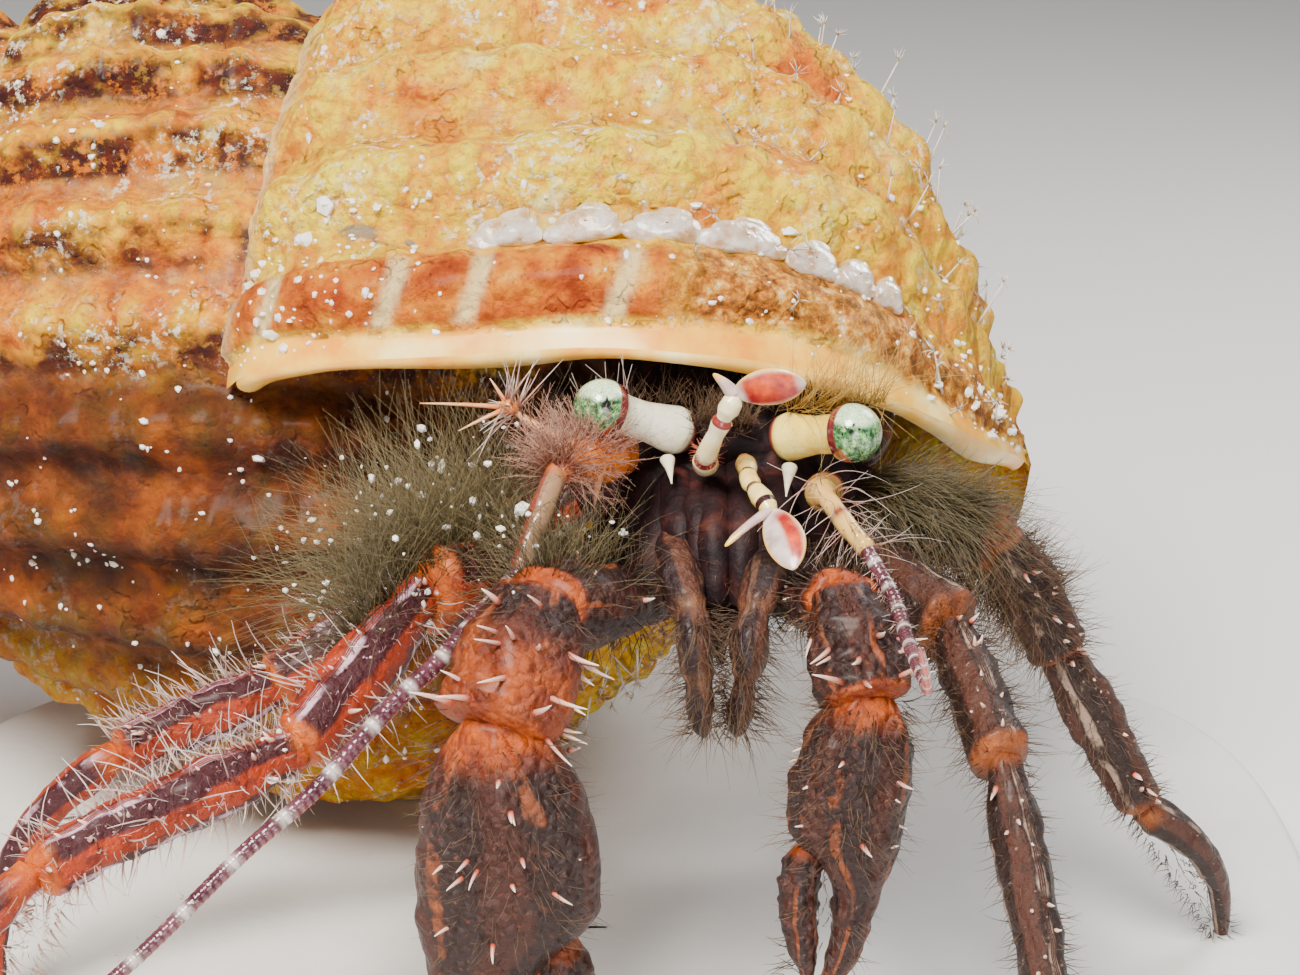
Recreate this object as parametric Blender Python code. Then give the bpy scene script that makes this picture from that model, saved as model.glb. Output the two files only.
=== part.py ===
"""Hermit crab in a ribbed whelk-like shell, standing, life size.

Lengths below are millimetres in the crab's own frame and are scaled to metres at the end.
X runs to the animal's left, Y to its back, Z up. The origin is midway between the two eyes.
"""
import math

import bmesh
import bpy
from mathutils import Vector

MM = 0.001
FLOOR = -12.6

# ---------------------------------------------------------------- shell form
SHELL_SCALE = 1.192           # size of the unit whorl profile below
WHORL_RATIO = 1.3026          # growth of the whorl in one full turn
TURNS = 4.6                   # whorls kept from the lip back to the worn tip of the spire
COLUMNS = 48                  # facets round one whorl, two to a rib
AXIS_POINT = Vector((0.8822, 9.4471, -5.0065))
AXIS_POINT_DEPTH = 35.853     # distance of that point from the apex, in profile units
AXIS_YAW = math.radians(12.8)
AXIS_PITCH = math.radians(11.1)
LIP_UP = Vector((0.0, -0.9397, 0.3420))
LIP_ROLL = math.radians(16.25)
LAP_LOSS = 2                  # columns short of a full turn between a row and its cover
RIB_HEIGHT = 0.03             # rib swell over the plain whorl, part of the radius
PILLAR_RADIUS = 0.8           # solid core round the axis at the canal end, profile units

# (radius, distance along the axis from the apex) from suture to siphonal canal
WHORL = [(7.21, -26.66), (8.15, -27.45), (8.75, -28.8), (9.12, -31.0), (9.4, -33.2), (9.39, -34.73),
         (9.02, -36.29), (8.13, -38.14), (6.75, -39.44), (5.2, -40.5), (3.5, -41.41)]
SUTURE_ROW = 5                # row that the next whorl covers
# how far each row of a rib, and of the lip, runs ahead of the level section, in columns
ROW_LEAD = [2.86, 2.4, 1.98, 1.45, 0.92, 0.65, 0.36, 0.12, -0.13, -0.62, -2.0]

# mouth of the hollow, matching the outer rows, then the axis, then the inner wall
MOUTH = [(7.45, -28.74), (7.72, -28.84), (8.0, -29.52), (8.3, -31.36), (8.55, -33.31), (8.55, -34.57),
         (8.25, -35.83), (7.65, -37.6), (6.47, -38.83), (5.02, -39.83), (3.4, -40.5),
         (2.1, -39.33), (1.9, -33.79), (2.6, -33.31), (4.1, -32.63), (5.5, -31.75), (6.6, -30.59), (7.1, -29.42)]
HOLLOW_TURN = math.radians(300)
HOLLOW_RINGS = 14

# ---------------------------------------------------------------- display base
BASE_CENTRE = (-2.9, 2.4)
BASE_HALF = (16.4, 15.2)
BASE_THICKNESS = 1.2
BASE_SIDES = 48

# ---------------------------------------------------------------- materials
COLOURS = {
    "stand_board": (0.72, 0.71, 0.69, 1.0),
    "shell_lime": (0.80, 0.42, 0.06, 1.0),
    "leg_cuticle": (0.20, 0.05, 0.04, 1.0),
    "claw_cuticle": (0.25, 0.09, 0.05, 1.0),
    "stalk_cuticle": (0.85, 0.78, 0.50, 1.0),
    "eye_cornea": (0.45, 0.72, 0.52, 1.0),
    "feeler_cuticle": (0.38, 0.10, 0.10, 1.0),
    "body_cuticle": (0.30, 0.10, 0.08, 1.0),
    "soft_abdomen": (0.62, 0.36, 0.28, 1.0),
}


def clear_scene():
    for old in list(bpy.data.objects):
        bpy.data.objects.remove(old, do_unlink=True)


def make_materials():
    made = {}
    for name, colour in COLOURS.items():
        material = bpy.data.materials.new(name)
        material.use_nodes = True
        shader = material.node_tree.nodes["Principled BSDF"]
        shader.inputs["Base Color"].default_value = colour
        shader.inputs["Roughness"].default_value = 0.15 if name == "eye_cornea" else 0.45
        made[name] = material
    return made


def add_mesh(name, points, faces, material):
    mesh = bpy.data.meshes.new(name)
    mesh.from_pydata([tuple(p) for p in points], [], faces)
    work = bmesh.new()
    work.from_mesh(mesh)
    bmesh.ops.remove_doubles(work, verts=work.verts, dist=1e-4)
    bmesh.ops.triangulate(work, faces=work.faces)
    bmesh.ops.recalc_face_normals(work, faces=work.faces)
    work.to_mesh(mesh)
    work.free()
    mesh.materials.append(material)
    node = bpy.data.objects.new(name, mesh)
    CRAB.objects.link(node)
    return node


def skin(name, rings, material):
    """Close a body over a row of rings with equal point counts."""
    count = len(rings[0])
    points = [p for ring in rings for p in ring]
    faces = []
    for r in range(len(rings) - 1):
        for k in range(count):
            a = r * count + k
            b = r * count + (k + 1) % count
            faces.append((a, b, b + count, a + count))
    for r in (0, len(rings) - 1):
        middle = sum((Vector(p) for p in rings[r]), Vector()) / count
        points.append(middle)
        centre = len(points) - 1
        for k in range(count):
            faces.append((r * count + k, r * count + (k + 1) % count, centre))
    return add_mesh(name, points, faces, material)


def side_axes(direction, hint):
    """Two unit vectors across a direction, the first as near the hint as can be."""
    across = hint - direction * hint.dot(direction)
    across.normalize()
    return across, direction.cross(across)


def oval(centre, across, rise, half_width, half_height, sides):
    ring = []
    for k in range(sides):
        turn = 2 * math.pi * (k + 0.5) / sides
        ring.append(centre + across * (half_width * math.cos(turn)) + rise * (half_height * math.sin(turn)))
    return ring


def tube(name, path, radii, material, sides=8, flat=1.0, hint=Vector((1, 0, 0)), floor_tip=False):
    """A round or flattened rod along a path, with one half-width per path point."""
    path = [Vector(p) for p in path]
    rings = []
    for i, point in enumerate(path):
        before = path[max(i - 1, 0)]
        after = path[min(i + 1, len(path) - 1)]
        direction = (after - before).normalized()
        across, rise = side_axes(direction, hint)
        rings.append(oval(point, across, rise, radii[i], radii[i] * flat, sides))
    if floor_tip:
        tip = path[-1]
        rings[-1] = oval(Vector((tip.x, tip.y, FLOOR)), Vector((1, 0, 0)), Vector((0, -1, 0)),
                         radii[-1], radii[-1], sides)
    return skin(name, rings, material)


# ---------------------------------------------------------------- shell
def shell_axes():
    along = Vector((-math.cos(AXIS_YAW) * math.cos(AXIS_PITCH),
                    math.sin(AXIS_YAW) * math.cos(AXIS_PITCH), math.sin(AXIS_PITCH)))
    level = (LIP_UP - along * LIP_UP.dot(along)).normalized()
    turned = level.cross(along)
    to_lip = level * math.cos(LIP_ROLL) - turned * math.sin(LIP_ROLL)
    return along, to_lip, to_lip.cross(along)


def shell_point(radius, depth, turn):
    """Point of the coil: unit radius and depth of the section, turned back from the lip."""
    along, to_lip, growth = shell_axes()
    size = SHELL_SCALE * math.exp(math.log(WHORL_RATIO) / (2 * math.pi) * turn)
    apex = AXIS_POINT + along * (AXIS_POINT_DEPTH * SHELL_SCALE)
    spoke = to_lip * math.cos(turn) + growth * math.sin(turn)
    return apex + spoke * (radius * size) + along * (depth * size)


def rib_swell(i, j):
    """Ribs crest on odd columns; the suture and the lip edge stay plain."""
    if i == 0 or j == 0:
        return 1.0
    return 1.0 + RIB_HEIGHT if i % 2 else 1.0 - RIB_HEIGHT


def build_shell(material):
    step = 2 * math.pi / COLUMNS
    first = -round(TURNS * COLUMNS)
    last_row = len(WHORL) - 1
    lap = COLUMNS - LAP_LOSS              # columns from a covered row to the row that covers it
    points = []
    index = {}

    def place(radius, depth, column):
        points.append(shell_point(radius, depth, column * step))
        return len(points) - 1

    def node(i, j):
        if j == SUTURE_ROW and i + lap <= 0:
            return node(i + lap, 0)
        if (i, j) not in index:
            radius, depth = WHORL[j]
            index[(i, j)] = place(radius * rib_swell(i, j), depth, i + ROW_LEAD[j])
        return index[(i, j)]

    faces = []
    for i in range(first, 0):
        for j in range(SUTURE_ROW):
            faces.append((node(i, j), node(i + 1, j), node(i + 1, j + 1), node(i, j + 1)))
    start = -lap                          # first column whose lower rows stay uncovered
    for i in range(start, 0):
        for j in range(SUTURE_ROW, last_row):
            faces.append((node(i, j), node(i + 1, j), node(i + 1, j + 1), node(i, j + 1)))
    # ramp from the canal edge in to a thin pillar round the axis
    pillar = {}
    for i in range(start, 1):
        pillar[i] = place(PILLAR_RADIUS, WHORL[last_row][1] * 1.008, i + ROW_LEAD[last_row])
    heart = place(0.0, WHORL[last_row][1], -COLUMNS / 2)
    for i in range(start, 0):
        faces.append((node(i, last_row), node(i + 1, last_row), pillar[i + 1], pillar[i]))
        faces.append((pillar[i], pillar[i + 1], heart))
    faces.append((pillar[0], pillar[start], heart))
    # tip of the spire
    tip = place(0.0, WHORL[0][1] * 0.75, first + lap)
    for i in range(first, first + lap):
        faces.append((node(i, 0), node(i + 1, 0), tip))
    for j in range(SUTURE_ROW):
        faces.append((node(first, j), node(first, j + 1), tip))
    # lip face round the mouth, then the hollow behind it
    covered = range(last_row, SUTURE_ROW, -1)
    rim = [node(0, j) for j in range(last_row + 1)] + [pillar[0], pillar[start]]
    rim += [node(start, j) for j in covered]
    leads = ROW_LEAD + [ROW_LEAD[last_row], LAP_LOSS + ROW_LEAD[last_row]]
    leads += [LAP_LOSS + ROW_LEAD[j] for j in covered]
    rings = [rim]
    for r in range(HOLLOW_RINGS):
        column = -HOLLOW_TURN / step * r / (HOLLOW_RINGS - 1)
        rings.append([place(q[0], q[1], column + lead) for q, lead in zip(MOUTH, leads)])
    for outer, inner in zip(rings[:-1], rings[1:]):
        for k in range(len(rim)):
            n = (k + 1) % len(rim)
            faces.append((outer[k], outer[n], inner[n], inner[k]))
    points.append(sum((points[k] for k in rings[-1]), Vector()) / len(rim))
    for k in range(len(rim)):
        faces.append((rings[-1][k], rings[-1][(k + 1) % len(rim)], len(points) - 1))
    for point in points:
        point.z = max(point.z, FLOOR)     # ribs worn flat where the shell lies on the ground
    return add_mesh("shell", points, faces, material)


# ---------------------------------------------------------------- limbs
END_SHAPE = [(0.0, 0.22), (0.35, 0.72), (0.95, 1.0)]   # distance and width in radii
JOINT_GAP = 0.06


def retreat(radius, bend):
    """How far a rounded end keeps back from a joint so that its neighbour clears it."""
    half = bend / 2
    need = 0.0
    for distance, width in END_SHAPE:
        reach = (width * radius * math.sin(half) + JOINT_GAP) / math.cos(half) - distance * radius
        need = max(need, reach)
    return need


def segment(name, start, end, r_start, r_end, back_start, back_end, material, flat, hint, belly=1.0):
    direction = (end - start).normalized()
    a = start + direction * back_start
    b = end - direction * back_end
    path = []
    radii = []
    for distance, width in END_SHAPE:
        path.append(a + direction * (distance * r_start))
        radii.append(width * r_start)
    path.append((path[-1] + (b - direction * (END_SHAPE[-1][0] * r_end))) / 2)
    radii.append((r_start + r_end) / 2 * belly)
    for distance, width in reversed(END_SHAPE):
        path.append(b - direction * (distance * r_end))
        radii.append(width * r_end)
    return tube(name, path, radii, material, flat=flat, hint=hint)


def bend_at(points, k):
    if k <= 0 or k >= len(points) - 1:
        return 0.0
    before = (points[k] - points[k - 1]).normalized()
    after = (points[k + 1] - points[k]).normalized()
    return before.angle(after)


def leg(prefix, side, points, radii, material, toe_bow):
    """Walking leg: upper, knee and shin lengths and a bowed toe with a flat tip."""
    points = [Vector(p) for p in points]
    names = ["upper", "knee", "shin"]
    for k, part in enumerate(names):
        segment(f"{prefix}_{part}_{side}", points[k], points[k + 1], radii[k][0], radii[k][1],
                retreat(radii[k][0], bend_at(points, k)), retreat(radii[k][1], bend_at(points, k + 1)),
                material, 0.82, Vector((0, 0, 1)), belly=1.05)
    start, tip = points[3], points[4]
    direction = (tip - start).normalized()
    radius = radii[3][0]
    start = start + direction * retreat(radius, bend_at(points, 3))
    path = []
    widths = []
    for distance, width in END_SHAPE:
        path.append(start + direction * (distance * radius))
        widths.append(width * radius)
    for share in (0.45, 0.72, 0.9):
        bow = Vector(toe_bow) * math.sin(math.pi * share)
        path.append(start.lerp(tip, share) + bow)
        widths.append(radius + (radii[3][1] - radius) * share)
    path.append(Vector((tip.x, tip.y, FLOOR)))
    widths.append(radii[3][1])
    tube(f"{prefix}_toe_{side}", path, widths, material, flat=0.9, hint=Vector((0, 1, 0)), floor_tip=True)


def claw(side, points, radii, length, width, thick, facing, finger_side, material):
    """Claw limb: arm and wrist, then a palm with its fixed finger and a movable finger."""
    points = [Vector(p) for p in points]
    for k, part in enumerate(("arm", "wrist")):
        segment(f"claw_{part}_{side}", points[k], points[k + 1], radii[k][0], radii[k][1],
                retreat(radii[k][0], bend_at(points, k)), retreat(radii[k][1], bend_at(points, k + 1)),
                material, 0.85, Vector((1, 0, 0)), belly=1.1)
    start, tip = points[2], points[3]
    direction = (tip - start).normalized()
    across, rise = side_axes(direction, Vector((finger_side, 0, 0)))
    start = start + direction * (retreat(width * 0.6, bend_at(points, 2)))
    length = (tip - start).length
    # share of length, offset across, half width, half thickness
    palm = [(0.0, 0.0, 0.14, 0.2), (0.05, 0.0, 0.5, 0.62), (0.16, 0.0, 0.86, 0.92), (0.34, 0.0, 1.0, 1.0),
            (0.5, -0.04, 0.96, 0.92), (0.555, -0.42, 0.5, 0.72), (0.7, -0.47, 0.36, 0.5),
            (0.88, -0.4, 0.26, 0.36), (1.0, -0.2, 0.14, 0.22)]
    finger = [(0.575, 0.5, 0.16, 0.25), (0.61, 0.52, 0.34, 0.5), (0.72, 0.46, 0.34, 0.48),
              (0.86, 0.34, 0.24, 0.34), (0.965, 0.16, 0.12, 0.2)]
    for name, shape in ((f"claw_palm_{side}", palm), (f"claw_finger_{side}", finger)):
        rings = []
        for share, offset, half, depth in shape:
            centre = start + direction * (share * length) + across * (offset * width)
            rings.append(oval(centre, across, rise, half * width, depth * thick, 10))
        if name.startswith("claw_palm") and abs(tip.z - FLOOR) < 1e-6:
            rings[-1] = [Vector((p.x, p.y, FLOOR)) for p in rings[-1]]
        skin(name, rings, material)


# ---------------------------------------------------------------- body
# centre, half width, rise above and drop below the seam between shield and underside
TRUNK = [((0.0, 0.75, -1.15), 1.5, 0.5, 0.5), ((0.0, 1.25, -0.95), 2.0, 0.85, 1.1),
         ((0.0, 2.2, -0.6), 2.35, 1.2, 1.7), ((0.05, 3.5, 0.1), 2.6, 1.5, 1.8),
         ((0.2, 4.7, 0.95), 2.5, 1.5, 1.6), ((0.4, 5.5, 1.6), 1.7, 1.0, 1.1)]
SEAM_GAP = 0.06


def half_ring(centre, direction, half_width, height, sign):
    across, rise = side_axes(direction, Vector((1, 0, 0)))
    if rise.z < 0:
        rise = -rise
    ring = []
    for k in range(9):
        turn = math.pi * k / 8
        ring.append(centre + across * (half_width * math.cos(turn))
                    + rise * (sign * (SEAM_GAP + height * math.sin(turn))))
    for k in range(1, 4):
        share = k / 4
        ring.append(centre + across * (half_width * (2 * share - 1)) + rise * (sign * SEAM_GAP))
    return ring


def build_trunk(shield_material, under_material):
    for name, column, sign, material in (("carapace", 2, 1, shield_material), ("thorax", 3, -1, under_material)):
        rings = []
        for k, station in enumerate(TRUNK):
            before = Vector(TRUNK[max(k - 1, 0)][0])
            after = Vector(TRUNK[min(k + 1, len(TRUNK) - 1)][0])
            direction = (after - before).normalized()
            rings.append(half_ring(Vector(station[0]), direction, station[1], station[column], sign))
        skin(name, rings, material)


def build_abdomen(material):
    """Soft hind body that follows the coil of the shell."""
    path = []
    radii = []
    for turn, radius, depth, thickness in ((-33, 6.0, -35.7, 0.9), (-42, 5.9, -35.6, 1.7), (-62, 5.6, -35.4, 2.1),
                                           (-88, 5.4, -35.3, 2.0), (-115, 5.4, -35.3, 1.7),
                                           (-140, 5.5, -35.3, 1.3), (-160, 5.6, -35.3, 0.7)):
        path.append(shell_point(radius, depth, math.radians(turn)))
        radii.append(thickness)
    tube("abdomen", path, radii, material, sides=10)


def build_eyes(stalk, cornea, scale):
    ends = {"right": ((-0.86, 0.55, -0.45), (-2.5, -0.39, 0.39)), "left": ((1.1, 0.5, -0.52), (2.48, -0.56, -0.07))}
    for side, (base, eye) in ends.items():
        base, eye = Vector(base), Vector(eye)
        direction = (eye - base).normalized()
        foot = [(0.0, 0.2), (0.12, 0.4), (0.4, 0.42), (0.95, 0.37)]
        path = [base + direction * d for d, _ in foot]
        radii = [r for _, r in foot]
        for back, radius in ((0.28, 0.48), (0.12, 0.51)):
            path.append(eye - direction * back)
            radii.append(radius)
        tube(f"eyestalk_{side}", path, radii, stalk, sides=12)
        dome = [(-0.06, 0.52), (0.12, 0.56), (0.32, 0.5), (0.47, 0.34), (0.55, 0.13)]
        tube(f"cornea_{side}", [eye + direction * d for d, _ in dome], [r for _, r in dome], cornea, sides=12)
    for side, root, tip in (("right", (-1.2, -0.15, -0.82), (-1.12, -0.85, -0.95)),
                            ("left", (1.25, -0.2, -0.98), (1.15, -0.92, -1.2))):
        tube(f"eye_scale_{side}", [root, Vector(root).lerp(Vector(tip), 0.55), tip], [0.28, 0.24, 0.1],
             scale, sides=6)


def build_feelers(pale, dark):
    stems = {
        "right": [(-0.42, -0.35, -0.85), (-0.42, -1.1, -0.3), (-0.12, -1.46, 0.52)],
        "left": [(0.36, -0.4, -0.8), (0.42, -1.45, -0.78), (0.69, -2.15, -0.95)],
    }
    fans = {
        "right": [(-0.05, -1.55, 0.74), (0.35, -1.72, 1.1), (0.9, -2.0, 1.36), (1.35, -2.25, 1.5)],
        "left": [(0.75, -2.33, -1.04), (0.9, -2.75, -1.2), (1.05, -3.2, -1.4), (1.18, -3.65, -1.6)],
    }
    for side in ("right", "left"):
        tube(f"antennule_{side}", stems[side], [0.26, 0.25, 0.27], pale, sides=8)
        tube(f"antennule_fan_{side}", fans[side], [0.26, 0.42, 0.42, 0.26], dark, sides=8, flat=0.62)
    roots = {
        "right": [(-2.3, 0.35, -0.85), (-2.65, -0.5, -0.65), (-3.3, -1.75, -0.42)],
        "left": [(2.05, 0.4, -1.6), (1.9, -0.5, -1.38), (1.92, -1.45, -1.1)],
    }
    lengths = {
        "right": [[(-3.44, -2.0, -0.6), (-3.7, -2.62, -1.08), (-4.02, -3.4, -1.84)],
                  [(-4.08, -3.52, -1.93), (-4.6, -4.04, -2.34), (-5.5, -5.14, -3.01), (-6.22, -5.84, -3.47)],
                  [(-6.3, -5.92, -3.53), (-6.87, -6.55, -3.96), (-7.69, -7.43, -4.63), (-8.87, -8.35, -5.39)],
                  [(-8.97, -8.43, -5.45), (-11.0, -10.0, -7.0), (-13.4, -11.7, -8.3), (-16.2, -13.0, -8.8)]],
        "left": [[(2.02, -1.75, -1.2), (2.3, -2.22, -1.42), (2.62, -2.72, -1.68)],
                 [(2.72, -2.86, -1.78), (3.1, -3.6, -2.3), (3.25, -5.0, -2.5), (3.3, -6.6, -2.35)],
                 [(3.31, -6.75, -2.33), (3.3, -8.4, -1.95), (3.2, -10.2, -1.35), (3.05, -12.0, -0.6)],
                 [(3.03, -12.13, -0.55), (2.95, -13.2, 0.0), (2.8, -14.4, 0.75), (2.6, -15.6, 1.6)]],
    }
    for side in ("right", "left"):
        tube(f"antenna_base_{side}", roots[side], [0.3, 0.42, 0.32], pale, sides=8)
        for k, path in enumerate(lengths[side]):
            if k == 0:
                radii = [0.25, 0.29, 0.26]
            else:
                radii = [0.25, 0.26, 0.26, 0.25]
            tube(f"antenna_{k + 1}_{side}", path, radii, pale if k == 0 else dark, sides=6)


def build_mouth(material):
    for side, path in (("right", [(-1.05, -0.9, -2.3), (-0.95, -2.2, -2.5), (-0.7, -3.3, -3.2),
                                  (-0.62, -3.5, -4.2), (-0.5, -3.3, -5.4)]),
                       ("left", [(0.8, -0.9, -2.3), (0.7, -2.2, -2.5), (0.42, -3.3, -3.2),
                                 (0.3, -3.5, -4.2), (0.14, -3.3, -5.4)])):
        tube(f"maxilliped_{side}", path, [0.3, 0.46, 0.45, 0.36, 0.2], material, sides=8)


def build_limbs(leg_material, claw_material):
    right_radii = [(0.62, 0.8), (0.62, 0.62), (0.6, 0.5), (0.5, 0.25)]
    leg("leg1", "right", [(-2.5, 0.7, -3.3), (-5.9, -3.0, -2.5), (-8.2, -5.9, -4.5), (-12.7, -8.9, -5.6),
                          (-16.0, -10.9, FLOOR)], right_radii, leg_material, (-0.8, -0.5, 0.9))
    leg("leg2", "right", [(-2.9, 2.6, -2.6), (-6.6, 2.2, -4.6), (-9.4, 1.2, -6.3), (-12.6, 0.0, -7.3),
                          (-15.2, -1.4, FLOOR)], right_radii, leg_material, (-0.8, -0.2, 0.7))
    left_radii = [(0.62, 0.75), (0.6, 0.6), (0.56, 0.48), (0.48, 0.25)]
    leg("leg1", "left", [(2.4, 0.6, -2.9), (4.4, -2.2, -3.6), (5.14, -5.4, -5.0), (5.95, -7.9, -9.0),
                         (6.6, -10.9, FLOOR)], left_radii, leg_material, (0.1, -0.7, 0.3))
    leg("leg2", "left", [(2.9, 2.4, -2.6), (5.7, 0.7, -2.9), (7.0, 1.0, -5.4), (8.9, 1.0, -9.0),
                         (11.0, 2.2, FLOOR)], left_radii, leg_material, (0.5, -0.2, 0.3))
    claw("right", [(-1.7, -1.0, -3.5), (-3.65, -4.5, -2.2), (-4.4, -6.1, -3.9), (-3.9, -6.3, FLOOR)],
         [(0.65, 0.9), (0.95, 1.05)], 8.2, 1.75, 1.15, -1, 1, claw_material)
    claw("left", [(1.45, -0.9, -3.5), (2.15, -3.7, -2.4), (2.55, -5.1, -3.8), (1.6, -5.5, -9.8)],
         [(0.55, 0.7), (0.75, 0.8)], 5.8, 1.15, 0.8, -1, -1, claw_material)
    tube("rear_leg_right", [(-2.9, 3.6, -1.0), (-3.5, 3.9, -0.6), (-3.7, 4.9, 0.6), (-3.5, 5.6, 1.6)],
         [0.26, 0.42, 0.4, 0.26], leg_material)
    tube("rear_leg_left", [(2.95, 2.8, -1.55), (3.15, 2.95, -1.15), (3.2, 3.2, -0.75), (3.1, 3.5, -0.4)],
         [0.26, 0.33, 0.3, 0.25], leg_material)


def build_base(material):
    """Flat display board with rounded corners; the shell alone would tip towards its spire."""
    rings = []
    for z, inset in ((FLOOR, 0.25), (FLOOR - 0.25, 0.0), (FLOOR - BASE_THICKNESS, 0.0)):
        ring = []
        for k in range(BASE_SIDES):
            turn = 2 * math.pi * (k + 0.5) / BASE_SIDES
            c, s = math.cos(turn), math.sin(turn)
            ring.append(Vector((BASE_CENTRE[0] + (BASE_HALF[0] - inset) * math.copysign(abs(c) ** 0.5, c),
                                BASE_CENTRE[1] + (BASE_HALF[1] - inset) * math.copysign(abs(s) ** 0.5, s), z)))
        rings.append(ring)
    skin("stand_base", rings, material)


def place_all():
    """Scale to metres and move the middle of the footprint to the origin."""
    low = Vector((1e9, 1e9, 1e9))
    high = -low
    for node in CRAB.objects:
        for vertex in node.data.vertices:
            for k in range(3):
                low[k] = min(low[k], vertex.co[k])
                high[k] = max(high[k], vertex.co[k])
    middle = Vector(((low.x + high.x) / 2, (low.y + high.y) / 2, low.z))
    for node in CRAB.objects:
        for vertex in node.data.vertices:
            vertex.co = (vertex.co - middle) * MM
    print("shift", tuple(round(v, 4) for v in middle), "size", tuple(round(v, 3) for v in high - low))


clear_scene()
CRAB = bpy.data.collections.new("hermit_crab")
bpy.context.scene.collection.children.link(CRAB)
PAINT = make_materials()
build_shell(PAINT["shell_lime"])
build_trunk(PAINT["body_cuticle"], PAINT["body_cuticle"])
build_abdomen(PAINT["soft_abdomen"])
build_eyes(PAINT["stalk_cuticle"], PAINT["eye_cornea"], PAINT["stalk_cuticle"])
build_feelers(PAINT["stalk_cuticle"], PAINT["feeler_cuticle"])
build_mouth(PAINT["body_cuticle"])
build_limbs(PAINT["leg_cuticle"], PAINT["claw_cuticle"])
build_base(PAINT["stand_board"])
place_all()
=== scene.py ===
"""Looks of the hermit crab: sculpted shell, jointed cuticle, eyes, feelers and bristles.

Lengths are millimetres in the crab's own frame (X to its left, Y to its back, Z up, origin
midway between the eyes), as in the solids. put() scales them to metres in the shared frame.
"""
import math

import bpy
import numpy as np
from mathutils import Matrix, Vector


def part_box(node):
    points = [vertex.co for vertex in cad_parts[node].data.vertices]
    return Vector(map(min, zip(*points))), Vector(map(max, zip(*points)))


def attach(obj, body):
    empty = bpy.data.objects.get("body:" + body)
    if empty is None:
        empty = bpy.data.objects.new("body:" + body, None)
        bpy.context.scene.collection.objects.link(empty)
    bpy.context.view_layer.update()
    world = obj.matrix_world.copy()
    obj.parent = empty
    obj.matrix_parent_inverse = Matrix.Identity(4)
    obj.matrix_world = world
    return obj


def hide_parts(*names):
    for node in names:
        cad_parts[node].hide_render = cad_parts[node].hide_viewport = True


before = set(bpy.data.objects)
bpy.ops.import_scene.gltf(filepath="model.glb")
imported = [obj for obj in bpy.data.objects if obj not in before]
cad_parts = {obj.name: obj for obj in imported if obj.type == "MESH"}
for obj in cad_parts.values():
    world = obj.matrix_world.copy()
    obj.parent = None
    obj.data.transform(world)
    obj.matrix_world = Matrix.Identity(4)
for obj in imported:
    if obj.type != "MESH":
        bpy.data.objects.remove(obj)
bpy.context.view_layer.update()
MM = 0.001
TAU = 2 * math.pi
FLOOR = -12.6
BASE_CENTRE = (-2.9, 2.4)
BASE_HALF = (16.4, 15.2)
BASE_THICKNESS = 1.2
BOARD_SIDES = 96
# how far each ring of the board lies inside its edge and below its top, with a rounded edge
BOARD_RINGS = ((-16.0, 0.0), (-0.25, 0.0), (-0.12, -0.03), (-0.03, -0.12), (0.0, -0.25),
               (0.0, -BASE_THICKNESS), (-16.0, -BASE_THICKNESS))
TOE_TIP = np.array([-16.0, -10.9, FLOOR])      # middle of the flat tip of the first right leg
TOE_RADIUS = 0.25 * math.cos(math.pi / 8)
TOE_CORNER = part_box("leg1_toe_right")[0]
SHIFT = (np.array([TOE_CORNER[0] + TOE_RADIUS * MM, TOE_CORNER[1] + TOE_RADIUS * MM, TOE_CORNER[2]])
         - TOE_TIP * MM)
UP = np.array([0.0, 0.0, 1.0])
PATCH = 0.003                    # side of each hair's patch on the unwrap
RNG = np.random.default_rng(7)

# ---------------------------------------------------------------- camera, light and floor
VIEW_LIFT = math.radians(20.0)
VIEW_DISTANCE = 65.0
VIEW_ASIDE = -1.55
VIEW_BELOW = -1.34
VIEW_WIDTH = 26.0
SENSOR_WIDTH = 36.0
FLOOR_REACH = 600.0
# name, place, aim, size, watts and colour
LAMPS = (("key", (-25, -45, 75), (0, 3, -2), 42, 0.26, (1.0, 0.96, 0.88)),
         ("front", (14, -80, 12), (0, 0, -3), 40, 0.030, (1.0, 0.98, 0.95)),
         ("rim", (50, 45, 45), (0, 5, 0), 40, 0.05, (0.93, 0.96, 1.0)))
WORLD_COLOUR = (0.93, 0.95, 1.0, 1.0)
WORLD_LIGHT = 0.22


def put(points):
    return np.asarray(points, float) * MM + SHIFT


def unit(v):
    v = np.asarray(v, float)
    return v / np.maximum(np.linalg.norm(v, axis=-1, keepdims=True), 1e-12)


def show(name, data):
    """A new object in the scene."""
    made = bpy.data.objects.new(name, data)
    bpy.context.scene.collection.objects.link(made)
    return made


def make_camera():
    data = bpy.data.cameras.new("camera")
    data.lens = SENSOR_WIDTH * VIEW_DISTANCE / VIEW_WIDTH
    data.clip_start = 0.001
    camera = show("camera", data)
    to_camera = np.array([0.0, -math.cos(VIEW_LIFT), math.sin(VIEW_LIFT)])
    view_up = np.array([0.0, math.sin(VIEW_LIFT), math.cos(VIEW_LIFT)])
    spot = np.array([VIEW_ASIDE, 0.0, 0.0]) + view_up * VIEW_BELOW + to_camera * VIEW_DISTANCE
    camera.location = Vector(put(spot))
    camera.rotation_euler = (math.pi / 2 - VIEW_LIFT, 0.0, 0.0)
    bpy.context.scene.camera = camera


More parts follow.
